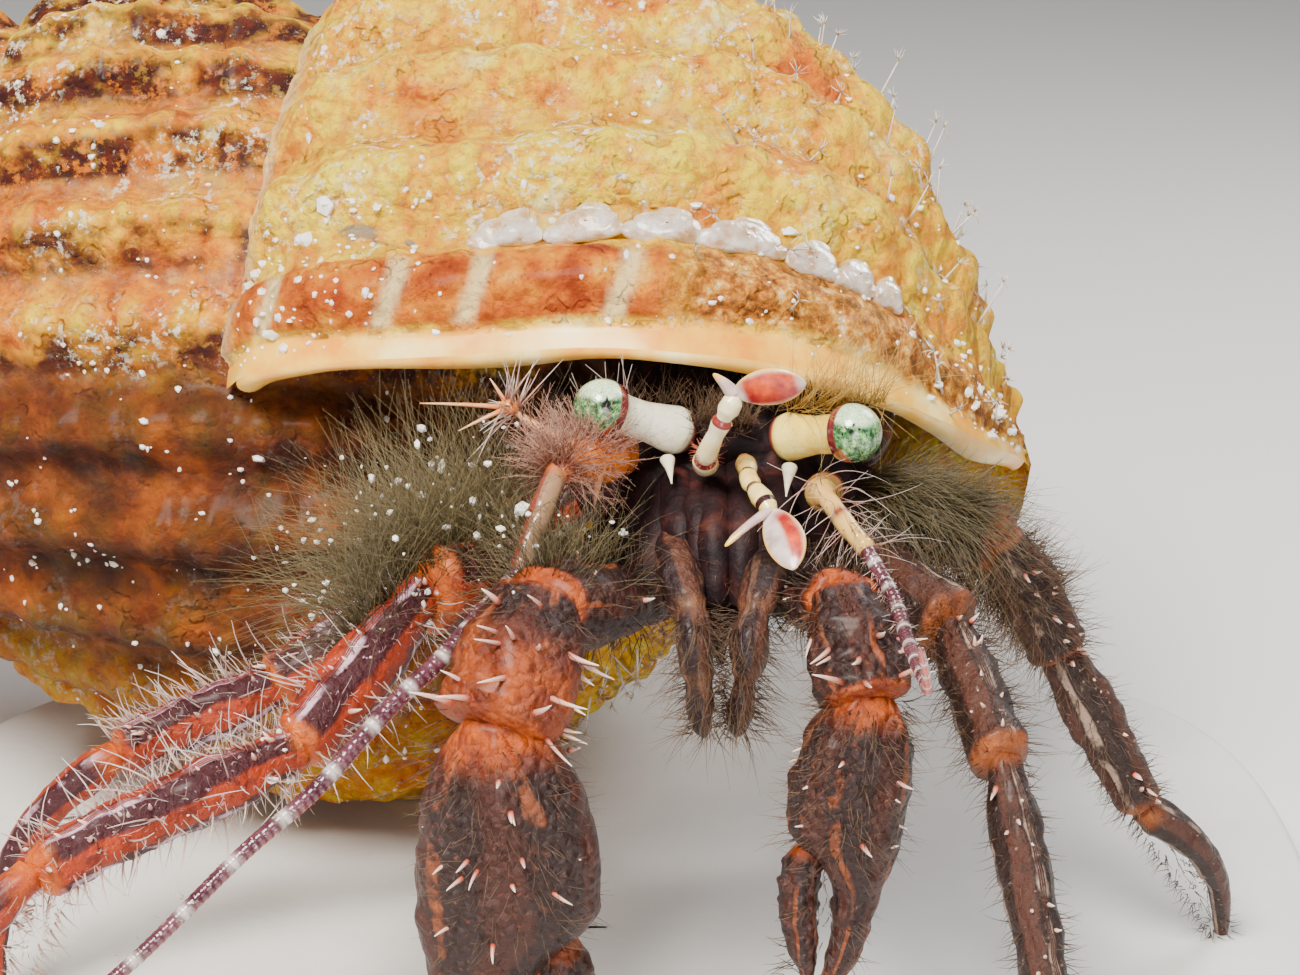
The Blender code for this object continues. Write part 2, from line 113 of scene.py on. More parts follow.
def make_lamps():
    for name, spot, aim, size, watts, colour in LAMPS:
        data = bpy.data.lights.new(name, "AREA")
        data.shape = "DISK"
        data.size = size * MM
        data.energy = watts
        data.color = colour
        lamp = show(name, data)
        lamp.location = Vector(put(spot))
        way = Vector(put(aim)) - lamp.location
        lamp.rotation_euler = way.to_track_quat("-Z", "Y").to_euler()


def make_studio():
    world = bpy.data.worlds.new("studio")
    bpy.context.scene.world = world
    world.use_nodes = True
    background = world.node_tree.nodes["Background"]
    background.inputs["Color"].default_value = WORLD_COLOUR
    background.inputs["Strength"].default_value = WORLD_LIGHT
    mesh = bpy.data.meshes.new("floor")
    corners = [(x * FLOOR_REACH, y * FLOOR_REACH, FLOOR - BASE_THICKNESS)
               for x, y in ((-1, -1), (1, -1), (1, 1), (-1, 1))]
    mesh.from_pydata([tuple(put(c)) for c in corners], [], [(0, 1, 2, 3)])
    paper = Paint("floor_paper")
    paper.base = (0.78, 0.76, 0.73)
    mesh.materials.append(paper.finish(0.9))
    show("floor", mesh)


# ---------------------------------------------------------------- mesh helpers
def piece(name, points, faces, material, attributes=None, flat=False, uv=None, nodes=(), slot=None):
    """A mesh object from points in millimetres and a list of face arrays (quads, triangles)."""
    mesh = bpy.data.meshes.new(name)
    placed = put(points)
    mesh.vertices.add(len(placed))
    mesh.vertices.foreach_set("co", placed.astype(np.float32).ravel())
    corners = np.concatenate([f.ravel() for f in faces])
    sizes = np.concatenate([np.full(len(f), f.shape[1]) for f in faces])
    mesh.loops.add(len(corners))
    mesh.loops.foreach_set("vertex_index", corners.astype(np.int32))
    mesh.polygons.add(len(sizes))
    mesh.polygons.foreach_set("loop_start", np.concatenate([[0], np.cumsum(sizes)[:-1]]).astype(np.int32))
    mesh.materials.append(material)
    mesh.polygons.foreach_set("use_smooth", np.full(len(sizes), not flat))
    mesh.update(calc_edges=True)
    mesh.validate()
    for key, values in (attributes or {}).items():
        layer = mesh.attributes.new(key, "FLOAT", "POINT")
        layer.data.foreach_set("value", np.asarray(values, dtype=np.float32).ravel())
    if uv is not None:
        layer = mesh.uv_layers.new(name="OFBake")
        layer.data.foreach_set("uv", np.asarray(uv, dtype=np.float32)[corners].ravel())
    made = show(name, mesh)
    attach(made, "root")
    if nodes:
        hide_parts(*nodes)


class Heap:
    """Gathers grids, tubes and lumps into one mesh with shared attributes."""

    def __init__(self):
        self.points, self.quads, self.tris, self.values, self.uvs = [], [], [], {}, []
        self.count = 0

    def add(self, points, quads=(), tris=(), uv=None, **values):
        """Points of any grid shape; an attribute that isn't given is 0 there."""
        points = np.asarray(points, float).reshape(-1, 3)
        for key in sorted(set(self.values) | set(values)):
            column = self.values.setdefault(key, [np.zeros(self.count)] if self.count else [])
            column.append(np.broadcast_to(np.asarray(values.get(key, 0.0), float).ravel(), (len(points),)))
        for store, faces in ((self.quads, quads), (self.tris, tris)):
            if len(faces):
                store.append(np.asarray(faces) + self.count)
        self.uvs.append(np.zeros((len(points), 2)) if uv is None else uv)
        self.points.append(points)
        self.count += len(points)

    def tube(self, points, start, end, **values):
        """A grid of rings (rows x sides x 3), closed by fans to its two end points."""
        rows, sides = points.shape[:2]
        k = np.arange(sides)
        n = (k + 1) % sides
        last = rows * sides
        caps = np.concatenate([np.stack([n, k, np.full(sides, last)], 1),
                               np.stack([last - sides + k, last - sides + n, np.full(sides, last + 1)], 1)])
        self.add(np.vstack([points.reshape(-1, 3), start, end]), grid_faces(rows, sides, wrap=True), caps,
                 **values)

    def make(self, name, material, use_uv=False, **rest):
        faces = [np.concatenate(group) for group in (self.quads, self.tris) if group]
        values = {key: np.concatenate(column) for key, column in self.values.items()}
        uv = np.concatenate(self.uvs) if use_uv else None
        piece(name, np.concatenate(self.points), faces, material, values, uv=uv, **rest)


def grid_faces(rows, columns, wrap=False):
    """Quads of a rows by columns grid of points; wrap joins the last column to the first."""
    r = np.arange(rows - 1)[:, None]
    c = np.arange(columns if wrap else columns - 1)[None, :]
    n = (c + 1) % columns
    return np.stack([r * columns + c, r * columns + n, (r + 1) * columns + n, (r + 1) * columns + c],
                    axis=-1).reshape(-1, 4)


def curve_through(knots, share):
    """Catmull-Rom curve through knots, by share of the chord length."""
    knots = np.asarray(knots, float)
    steps = np.linalg.norm(np.diff(knots, axis=0), axis=1)
    marks = np.concatenate([[0], np.cumsum(steps)])
    marks /= marks[-1]
    slopes = np.empty_like(knots)
    slopes[1:-1] = (knots[2:] - knots[:-2]) / (marks[2:] - marks[:-2])[:, None]
    slopes[0] = (knots[1] - knots[0]) / marks[1]
    slopes[-1] = (knots[-1] - knots[-2]) / (marks[-1] - marks[-2])
    share = np.clip(np.asarray(share, float), 0, 1)
    k = np.clip(np.searchsorted(marks, share, side="right") - 1, 0, len(knots) - 2)
    span = (marks[k + 1] - marks[k])[..., None]
    t = ((share - marks[k]) / (marks[k + 1] - marks[k]))[..., None]
    h0 = 2 * t ** 3 - 3 * t ** 2 + 1
    h1 = t ** 3 - 2 * t ** 2 + t
    h2 = -2 * t ** 3 + 3 * t ** 2
    h3 = t ** 3 - t ** 2
    return h0 * knots[k] + h1 * span * slopes[k] + h2 * knots[k + 1] + h3 * span * slopes[k + 1]


def lattice(i, j, k, seed):
    """Repeatable pseudo-random value for each lattice point."""
    h = (i * 374761393 + j * 668265263 + k * 2147483647 + seed * 144665) & 0xFFFFFFFF
    h = ((h ^ (h >> 13)) * 1274126177) & 0xFFFFFFFF
    h = (h ^ (h >> 16)) & 0xFFFF
    return h / 65535.0


def noise(points, scale, seed=0):
    """Smooth value noise from -1 to 1 at points, with cells of the given size."""
    q = np.asarray(points, float) / scale
    base = np.floor(q).astype(np.int64)
    f = q - base
    f = f * f * (3 - 2 * f)
    total = 0.0
    for a in (0, 1):
        for b in (0, 1):
            for c in (0, 1):
                weight = (np.where(a, f[..., 0], 1 - f[..., 0]) * np.where(b, f[..., 1], 1 - f[..., 1])
                          * np.where(c, f[..., 2], 1 - f[..., 2]))
                total = total + weight * lattice(base[..., 0] + a, base[..., 1] + b, base[..., 2] + c, seed)
    return total * 2 - 1


def layered(points, scale, seed=0, layers=3):
    return sum(noise(points, scale / 2 ** k, seed + k) / 2 ** k for k in range(layers))


def smooth(x, low, high):
    t = np.clip((np.asarray(x, float) - low) / (high - low), 0, 1)
    return t * t * (3 - 2 * t)


def hump(x, middle, width):
    """1 at the middle, falling to 0 on both sides."""
    return np.exp(-((x - middle) / width) ** 2)


def axes_along(path, hint):
    """Tangent and two side vectors at each path point, without twist from the hint."""
    way = unit(np.gradient(path, axis=0))
    side = unit(hint - way * (way @ hint)[:, None])
    return way, side, np.cross(way, side)


def ring_turns(sides):
    return TAU * np.arange(sides) / sides


# ---------------------------------------------------------------- materials
class Paint:
    """Builds one node material: colours are laid over its base one after the other."""

    def __init__(self, name):
        self.material = bpy.data.materials.new(name)
        self.material.use_nodes = True
        self.tree = self.material.node_tree
        self.place = self.node("TexCoord", {}, "Object")

    def fill(self, socket, amount):
        """Links a socket to another one, or gives it a number or a colour."""
        if hasattr(amount, "is_output"):
            self.tree.links.new(amount, socket)
        else:
            socket.default_value = (*amount, 1.0) if socket.type == "RGBA" else amount

    def node(self, kind, inputs, output=0, **settings):
        """An output of a new node."""
        made = self.tree.nodes.new("ShaderNode" + kind)
        for key, value in settings.items():
            setattr(made, key, value)
        for key, amount in inputs.items():
            self.fill(made.inputs[key], amount)
        return made.outputs[output]

    def noise(self, size, detail=4.0, rough=0.55, distort=0.0):
        """Noise with features of about the given size in millimetres."""
        return self.node("TexNoise", {"Vector": self.place, "Scale": 1000.0 / size, "Detail": detail,
                                      "Roughness": rough, "Distortion": distort}, "Fac")

    def cells(self, size, feature="F1"):
        return self.node("TexVoronoi", {"Vector": self.place, "Scale": 1000.0 / size}, "Distance",
                         feature=feature)

    def attribute(self, name):
        return self.node("Attribute", {}, "Fac", attribute_name=name)

    def math(self, operation, a, b=0.0, c=0.0):
        return self.node("Math", {0: a, 1: b, 2: c}, operation=operation)

    def times(self, amount, *others):
        for other in others:
            amount = self.math("MULTIPLY", amount, other)
        return amount

    def less(self, amount, other):
        return self.math("SUBTRACT", amount, other)

    def ramp(self, amount, *stops):
        """Colour ramp; each stop is (position, colour)."""
        colour = self.node("ValToRGB", {"Fac": amount}, "Color")
        elements = colour.node.color_ramp.elements
        for k, (position, tint) in enumerate(stops):
            stop = elements[k] if k < 2 else elements.new(position)
            stop.position = position
            stop.color = (*tint, 1.0)
        return colour

    def step(self, amount, low, high):
        return self.node("MapRange", {"Value": amount, "From Min": low, "From Max": high},
                         interpolation_type="SMOOTHSTEP")

    def over(self, colour, *amounts):
        """Lays a colour over the base, as far as the product of the amounts says."""
        self.base = self.node("Mix", {0: self.times(*amounts), 6: self.base, 7: colour}, 2, data_type="RGBA")

    def bump(self, height, depth):
        return self.node("Bump", {"Strength": 1.0, "Distance": depth * MM, "Height": height})

    def finish(self, rough, normal=None, coat=None, below=None, **inputs):
        """Fills the shader; coat is its weight and roughness, below the subsurface weight and radii."""
        inputs.update({"Base Color": self.base, "Roughness": rough})
        if normal:
            inputs["Normal"] = normal
        if coat:
            inputs["Coat Weight"], inputs["Coat Roughness"] = coat
        if below:
            inputs["Subsurface Weight"] = below[0]
            inputs["Subsurface Radius"] = [radius * MM for radius in below[1:]]
        for key, amount in inputs.items():
            self.fill(self.tree.nodes["Principled BSDF"].inputs[key.replace("_", " ")], amount)
        return self.material


def mottled(name, grain, stops, overs=(), rough=0.3, bump=None, **rest):
    """A simple paint: a ramp over noise, then colours where attributes or spots of noise say."""
    p = Paint(name)
    p.base = p.ramp(p.noise(*grain), *stops)
    for colour, where, *bounds in overs:
        amount = p.attribute(where) if isinstance(where, str) else p.noise(*where)
        p.over(colour, p.step(amount, *bounds[:2]) if bounds else amount, *bounds[2:])
    return p.finish(rough, p.bump(p.noise(*bump[:2]), bump[2]) if bump else None, **rest)


def shell_paint():
    """Encrusted outer shell: yellow and orange growth, cream lip, grooves darkened with painted shade,
    painted shade under the old ribs and painted shadow below the lip.
    """
    p = Paint("shell_outer")
    rib, cord, lip, groove, block, seam, ragged, row, under, suture, spire, canal, shade = (
        p.attribute(key) for key in ("rib", "cord", "lip", "groove", "block", "seam", "ragged", "row",
                                     "under", "suture", "spire", "canal", "shade"))
    # broad colour: lemon and orange patches; the older whorls are warmer and darker, the darkening partly
    # painted shade, kept off their upward-facing top
    patch = p.noise(2.0, 6.0, 0.66, 0.4)
    p.base = p.ramp(patch, (0.34, (0.60, 0.11, 0.001)), (0.41, (0.88, 0.30, 0.001)),
                    (0.47, (0.98, 0.54, 0.001)), (0.57, (1.0, 0.71, 0.002)), (0.70, (1.0, 0.86, 0.34)))
    p.over(p.ramp(patch, (0.33, (0.24, 0.028, 0.001)), (0.42, (0.66, 0.12, 0.001)),
                  (0.50, (0.92, 0.30, 0.001)), (0.62, (1.0, 0.56, 0.002))), spire)
    knob = p.step(p.times(rib, cord), 0.40, 0.90)
    p.over(p.ramp(p.noise(0.7), (0.35, (0.94, 0.42, 0.001)), (0.55, (1.0, 0.72, 0.002))), knob, 0.55)
    p.over((1.0, 0.76, 0.002), row, cord, 0.95)
    pebble = p.cells(0.42)
    p.over((0.86, 0.28, 0.003), p.step(pebble, 0.45, 0.78), 0.55)
    beads = p.cells(0.24)
    p.over((0.50, 0.12, 0.003), p.step(beads, 0.55, 0.85), 0.30)
    # grooves between ribs: grey-brown on the older whorls, then darkened everywhere as painted shade in the
    # hollows; painted shade, near black, on the undersides of the old ribs
    deep = p.step(groove, 0.45, 0.95)
    p.over(p.ramp(p.noise(0.5, 5.0), (0.40, (0.20, 0.08, 0.04)), (0.62, (0.52, 0.40, 0.30))),
           deep, spire, 0.55)
    p.over((0.42, 0.10, 0.005), deep, 0.35)
    p.over(p.ramp(p.noise(0.4), (0.35, (0.022, 0.004, 0.008)), (0.7, (0.13, 0.018, 0.004))),
           under, p.step(p.noise(1.1, 5.0), 0.34, 0.54))
    # crusts, pits, grey blotches and white grit
    p.over((0.95, 0.56, 0.06), p.step(p.noise(0.50, 6.0, 0.68), 0.56, 0.64), 0.30)
    pits = p.times(p.step(p.noise(0.9, 3.0), 0.57, 0.63), p.step(p.cells(0.30), 0.32, 0.52))
    p.over((0.30, 0.08, 0.004), pits, 0.3)
    p.over((0.84, 0.23, 0.001), p.step(p.noise(0.30, 5.0, 0.72), 0.52, 0.59),
           p.step(p.noise(1.5, 3.0), 0.44, 0.58), 0.65)
    p.over((1.0, 0.93, 0.74), p.step(p.noise(0.24, 5.0, 0.72), 0.53, 0.60),
           p.step(p.noise(2.1, 4.0, 0.6), 0.48, 0.60), 0.75)
    p.over((0.20, 0.19, 0.17), p.step(p.noise(1.3, 3.0, 0.5, 1.0), 0.70, 0.76), 0.8)
    grit = p.step(p.noise(0.13, 4.0, 0.75), 0.60, 0.67)
    p.over((0.86, 0.84, 0.80), grit, p.step(p.noise(1.7, 3.0), 0.42, 0.60), 0.85)
    # painted shadow of the lip: the wall below the lip is darkened to brown and maroon
    p.over(p.ramp(p.noise(1.2, 5.0), (0.36, (0.026, 0.005, 0.003)), (0.54, (0.11, 0.018, 0.002)),
                  (0.72, (0.34, 0.07, 0.003))), shade, 0.92)
    # stripes at the canal end, then the block band, its dividers and its gritty far part
    bars = p.step(p.math("SINE", p.times(cord, 5.0)), 0.2, 0.8)
    p.over((0.16, 0.035, 0.006), canal, bars, 0.5)
    p.over(p.ramp(p.noise(0.8, 5.0, 0.6), (0.34, (0.34, 0.040, 0.0005)), (0.47, (0.60, 0.12, 0.0005)),
                  (0.60, (0.80, 0.25, 0.001)), (0.74, (0.95, 0.56, 0.08))), block)
    p.over((0.95, 0.74, 0.34), seam, 0.85)
    p.over(p.ramp(p.noise(0.34, 6.0, 0.7), (0.38, (0.10, 0.025, 0.006)), (0.50, (0.50, 0.14, 0.01)),
                  (0.60, (0.85, 0.42, 0.06)), (0.70, (0.90, 0.82, 0.66))), ragged, 0.9)
    p.over((0.86, 0.62, 0.32), suture, 0.7)
    p.over(p.ramp(p.noise(1.5), (0.32, (0.80, 0.28, 0.008)), (0.50, (0.90, 0.48, 0.05)),
                  (0.68, (0.95, 0.72, 0.26))), lip)
    bare = p.less(1.0, lip)
    height = p.math("ADD", p.noise(0.36, 7.0, 0.75), p.times(grit, 0.4))
    for dent, amount in ((pits, 0.5), (pebble, 0.9), (beads, 0.4)):
        height = p.less(height, p.times(dent, amount))
    return p.finish(p.step(bare, -0.9, 1.7), p.bump(p.times(height, bare), 0.26), coat=(0.05, 0.25),
                    below=(0.05, 0.5, 0.2, 0.1), Specular_IOR_Level=0.28)


def mouth_paint():
    """Smooth inner wall: golden at the canal end, maroon across it, with painted shade darkening it deeper
    inside.
    """
    p = Paint("shell_inner")
    p.base = p.ramp(p.attribute("side"), (0.0, (0.55, 0.15, 0.01)), (0.30, (0.16, 0.03, 0.01)),
                    (0.60, (0.30, 0.09, 0.01)), (0.75, (0.70, 0.34, 0.03)), (0.95, (0.80, 0.48, 0.08)))
    # painted shade: near-black maroon deeper inside the mouth
    p.over((0.055, 0.012, 0.010), p.step(p.attribute("depth"), 0.01, 0.28))
    p.over((0.55, 0.24, 0.05), p.step(p.noise(1.6), 0.45, 0.7), 0.35)
    p.over(p.ramp(p.noise(1.4), (0.34, (0.80, 0.29, 0.01)), (0.52, (0.90, 0.50, 0.07)),
                  (0.70, (0.94, 0.74, 0.30))), p.attribute("lip"))
    return p.finish(0.34, p.bump(p.noise(0.8, 3.0), 0.03), coat=(0.4, 0.15), below=(0.15, 1.5, 0.8, 0.4))


def limb_paint(name, dark, warm, pale, stripe_count, joints=((0.32, 0.030, 0.002), (0.62, 0.13, 0.004)),
               grain=0.3):
    """Striped cuticle; stripes run lengthways, the joints are orange."""
    p = Paint(name)
    wobble = p.times(p.less(p.noise(1.7), 0.5), 3.0)
    turns = p.math("MULTIPLY_ADD", p.attribute("around"), TAU * stripe_count, wobble)
    line = p.step(p.math("SINE", p.math("ADD", turns, 2.1)), 0.80, 0.95)
    p.base = dark
    p.over(warm, p.step(p.math("SINE", turns), 0.05, 0.55))
    p.over(pale, line, p.step(p.noise(0.8, 5.0), 0.42, 0.56), 0.9)
    p.over(dark, p.step(p.noise(0.45, 5.0, 0.65), 0.52, 0.64), 0.6)
    p.over(pale, p.step(p.noise(0.13, 2.0), 0.66, 0.72), 0.55)
    p.over(p.ramp(p.noise(0.5), (0.35, joints[0]), (0.65, joints[1])), p.attribute("joint"))
    bumps = p.less(p.noise(0.20, 5.0, 0.65), p.times(p.cells(0.20), grain))
    return p.finish(0.46, p.bump(bumps, 0.12), coat=(0.12, 0.25), below=(0.05, 0.6, 0.2, 0.1),
                    Specular_IOR_Level=0.35)


def plain_paint(name, *stops, size=0.8, rough=0.3, sub=0.15, coat=0.5):
    """Mottled cuticle from a few colours."""
    return mottled(name, (size,), stops, rough=rough, bump=(size * 0.3, 4.0, 0.04), coat=(coat, 0.15),
                   below=(sub, 0.8, 0.4, 0.2), Specular_IOR_Level=0.5 if coat else 0.2)


def banded_paint(name, low, high, ring, accent):
    """Pale stem with dark rings where the tone attribute says."""
    return mottled(name, (0.6, 3.0), ((0.35, low), (0.65, high)),
                   ((ring, "tone", 0.35, 0.6), (accent, "accent")), rough=0.25, bump=(0.15, 3.0, 0.02),
                   coat=(0.6, 0.1), below=(0.2, 0.6, 0.4, 0.2))


def strand_paint(name, root, tip, rough=0.45):
    """Bristle colour from root to tip, darker on some bristles."""
    p = Paint(name)
    p.base = root
    p.over(tip, p.attribute("tipward"))
    p.over(tuple(0.35 * c for c in root), p.attribute("shade"), 0.55)
    return p.finish(rough, below=(0.1, 0.4, 0.3, 0.2))


def eye_paint():
    """Mint cornea with fine facets, darker and mottled in its lower half."""
    p = Paint("cornea_paint")
    facets = p.cells(0.075, "DISTANCE_TO_EDGE")
    mottle = p.noise(0.13, 5.0, 0.75)
    p.base = p.ramp(mottle, (0.36, (0.42, 0.68, 0.38)), (0.56, (0.76, 0.91, 0.62)))
    edge = p.math("MULTIPLY_ADD", p.less(p.noise(0.4, 3.0), 0.5), 0.7, p.attribute("drop"))
    p.over(p.ramp(mottle, (0.42, (0.010, 0.048, 0.014)), (0.50, (0.06, 0.20, 0.06)),
                  (0.58, (0.26, 0.50, 0.19)), (0.68, (0.60, 0.82, 0.46))), p.step(edge, -0.72, -0.42))
    p.over((0.03, 0.12, 0.07), p.less(1.0, p.step(facets, 0.02, 0.10)), 0.35)
    p.over((0.004, 0.006, 0.005), p.attribute("pupil"))
    p.over((0.55, 0.05, 0.02), p.attribute("red"))
    p.over((0.14, 0.012, 0.02), p.attribute("band"))
    return p.finish(0.16, p.bump(facets, 0.006), coat=(1.0, 0.03), below=(0.1, 0.3, 0.4, 0.3))


def stalk_paint(name, low, high):
    """Eyestalk: plain, with a dark band at the eye and a reddish foot."""
    overs = (((0.55, 0.28, 0.10), (0.08, 2.0), 0.64, 0.7, 0.35), ((0.14, 0.012, 0.02), "band"),
             ((0.16, 0.02, 0.02), "foot"), ((0.92, 0.90, 0.84), "line"))
    return mottled(name, (0.7, 3.0), ((0.35, low), (0.65, high)), overs, bump=(0.12, 4.0, 0.015),
                   coat=(0.6, 0.12), below=(0.3, 0.6, 0.4, 0.2))


def paddle_paint():
    """Pale paddle of a short feeler: red core, amber rim."""
    p = Paint("paddle_paint")
    p.base = p.ramp(p.noise(0.35), (0.3, (0.40, 0.27, 0.25)), (0.7, (0.72, 0.62, 0.58)))
    p.over(p.ramp(p.noise(0.3, 3.0), (0.35, (0.30, 0.008, 0.010)), (0.7, (0.78, 0.10, 0.015))),
           p.attribute("tone"))
    p.over((0.90, 0.50, 0.08), p.attribute("accent"))
    return p.finish(0.3, coat=(0.5, 0.1), below=(0.4, 0.6, 0.3, 0.2))


def long_feeler_paint():
    """Maroon whip with pale rings, on a brown stem that is orange or gold near the head."""
    p = Paint("long_feeler_paint")
    stem = p.attribute("accent")
    p.base = p.ramp(p.noise(0.5), (0.35, (0.055, 0.010, 0.022)), (0.7, (0.16, 0.05, 0.07)))
    p.over((0.52, 0.035, 0.012), p.attribute("under"))
    p.over((0.8, 0.76, 0.72), p.step(p.noise(0.10, 2.0), 0.63, 0.7), 0.6)
    p.over((0.66, 0.58, 0.55), p.attribute("tone"))
    p.over((0.30, 0.17, 0.095), stem)
    wave = p.math("SINE", p.math("MULTIPLY_ADD", p.attribute("around"), 2 * TAU, p.noise(0.8, 3.0)))
    p.over((0.20, 0.020, 0.015), stem, p.step(wave, 0.55, 0.85), 0.9)
    p.over((0.76, 0.17, 0.01), p.attribute("orange"))
    p.over((0.80, 0.50, 0.13), p.attribute("gold"))
    return p.finish(0.22, p.bump(p.attribute("beads"), 0.03), coat=(0.7, 0.08))


# ---------------------------------------------------------------- shell form, as in the solids
SHELL_SCALE = 1.192
WHORL_RATIO = 1.3026
TURNS = 4.6
AXIS_POINT = np.array([0.8822, 9.4471, -5.0065])
AXIS_POINT_DEPTH = 35.853
AXIS_YAW = math.radians(12.8)
AXIS_PITCH = math.radians(11.1)
LIP_UP = np.array([0.0, -0.9397, 0.3420])
LIP_ROLL = math.radians(16.25)
COLUMN = math.radians(7.5)
LAP = 46 * COLUMN                # turn from a covered row to the row that covers it
RIB_HEIGHT = 0.03
# radius, depth and lead of each row of the section, suture to canal
WHORL = [(7.21, -26.66, 2.86), (8.15, -27.45, 2.4), (8.75, -28.8, 1.98), (9.12, -31.0, 1.45),
         (9.4, -33.2, 0.92), (9.39, -34.73, 0.65), (9.02, -36.29, 0.36), (8.13, -38.14, 0.12),
         (6.75, -39.44, -0.13), (5.2, -40.5, -0.62), (3.5, -41.41, -2.0)]
SUTURE_SHARE = 0.425             # share of the section that the next whorl leaves bare
WALL = 0.85
WALL_TURN = math.radians(280)    # how far the inner wall runs back from the lip
ROLL_STEPS = 9                   # rows of the rounded lip edge
CORDS = 15
BLOCK_GAPS = (0.075, 0.205, 0.285, 0.425)      # cream dividers of the orange blocks, as shares of the lip
BLOCK_END = 0.47                               # beyond it the band is brown and gritty
SPIRE_GRID = (860, 72)            # points along the turn and across the section
BODY_GRID = (250, 330, 160)      # the same, with the last half turn finer than the rest
CANAL_GRID = (260, 14)
WALL_GRID = (120, 140)
# share of the section and width of each scale, then the lumps that a scale is made of
SCALES = ((0.305, 0.95), (0.38, 1.0), (0.455, 1.05), (0.53, 1.15), (0.60, 0.75), (0.645, 0.62), (0.685, 0.5))
SCALE_LUMPS = ((0.0, 0.0, 1.0), (-0.42, 0.16, 0.66), (0.40, 0.14, 0.6), (0.1, -0.3, 0.55))
SCALE_SIZE = np.array([0.68, 0.36, 0.20])
LUMP_GRID = (14, 18)
HYDROIDS = 220
HYDROID_ARMS = 7


def shell_axes():
    along = np.array([-math.cos(AXIS_YAW) * math.cos(AXIS_PITCH),
                      math.sin(AXIS_YAW) * math.cos(AXIS_PITCH), math.sin(AXIS_PITCH)])
    level = unit(LIP_UP - along * (LIP_UP @ along))
    to_lip = level * math.cos(LIP_ROLL) - np.cross(level, along) * math.sin(LIP_ROLL)
    return along, to_lip, np.cross(to_lip, along)


ALONG, TO_LIP, GROWTH = shell_axes()
APEX = AXIS_POINT + ALONG * AXIS_POINT_DEPTH * SHELL_SCALE


def whorl_size(turn):
    return SHELL_SCALE * np.exp(math.log(WHORL_RATIO) / TAU * turn)


def from_axis(radius, depth, turn):
    turn = np.asarray(turn, float)
    size = whorl_size(turn)
    spoke = np.cos(turn)[..., None] * TO_LIP + np.sin(turn)[..., None] * GROWTH
    return APEX + spoke * (radius * size)[..., None] + ALONG * (depth * size)[..., None]


def on_axis(place):
    """The points of the shell's axis beside the given ones."""
    return APEX + ((place - APEX) @ ALONG)[..., None] * ALONG


def outward_normals(place):
    """Unit normals of a grid, turned away from the shell's axis."""
    normal = grid_normals(place)
    return normal * np.sign(np.sum(normal * (place - on_axis(place)), axis=-1, keepdims=True))


def grid_normals(p):
    return unit(np.cross(np.gradient(p, axis=0), np.gradient(p, axis=1)))


def coil(turn, share, swell=1.0):
    """Coil surface at growth angles and section shares (broadcast together)."""
    turn, share = np.broadcast_arrays(np.asarray(turn, float), np.asarray(share, float))
    section = curve_through(WHORL, share)
    return from_axis(section[..., 0] * swell, section[..., 1], turn + section[..., 2] * COLUMN)


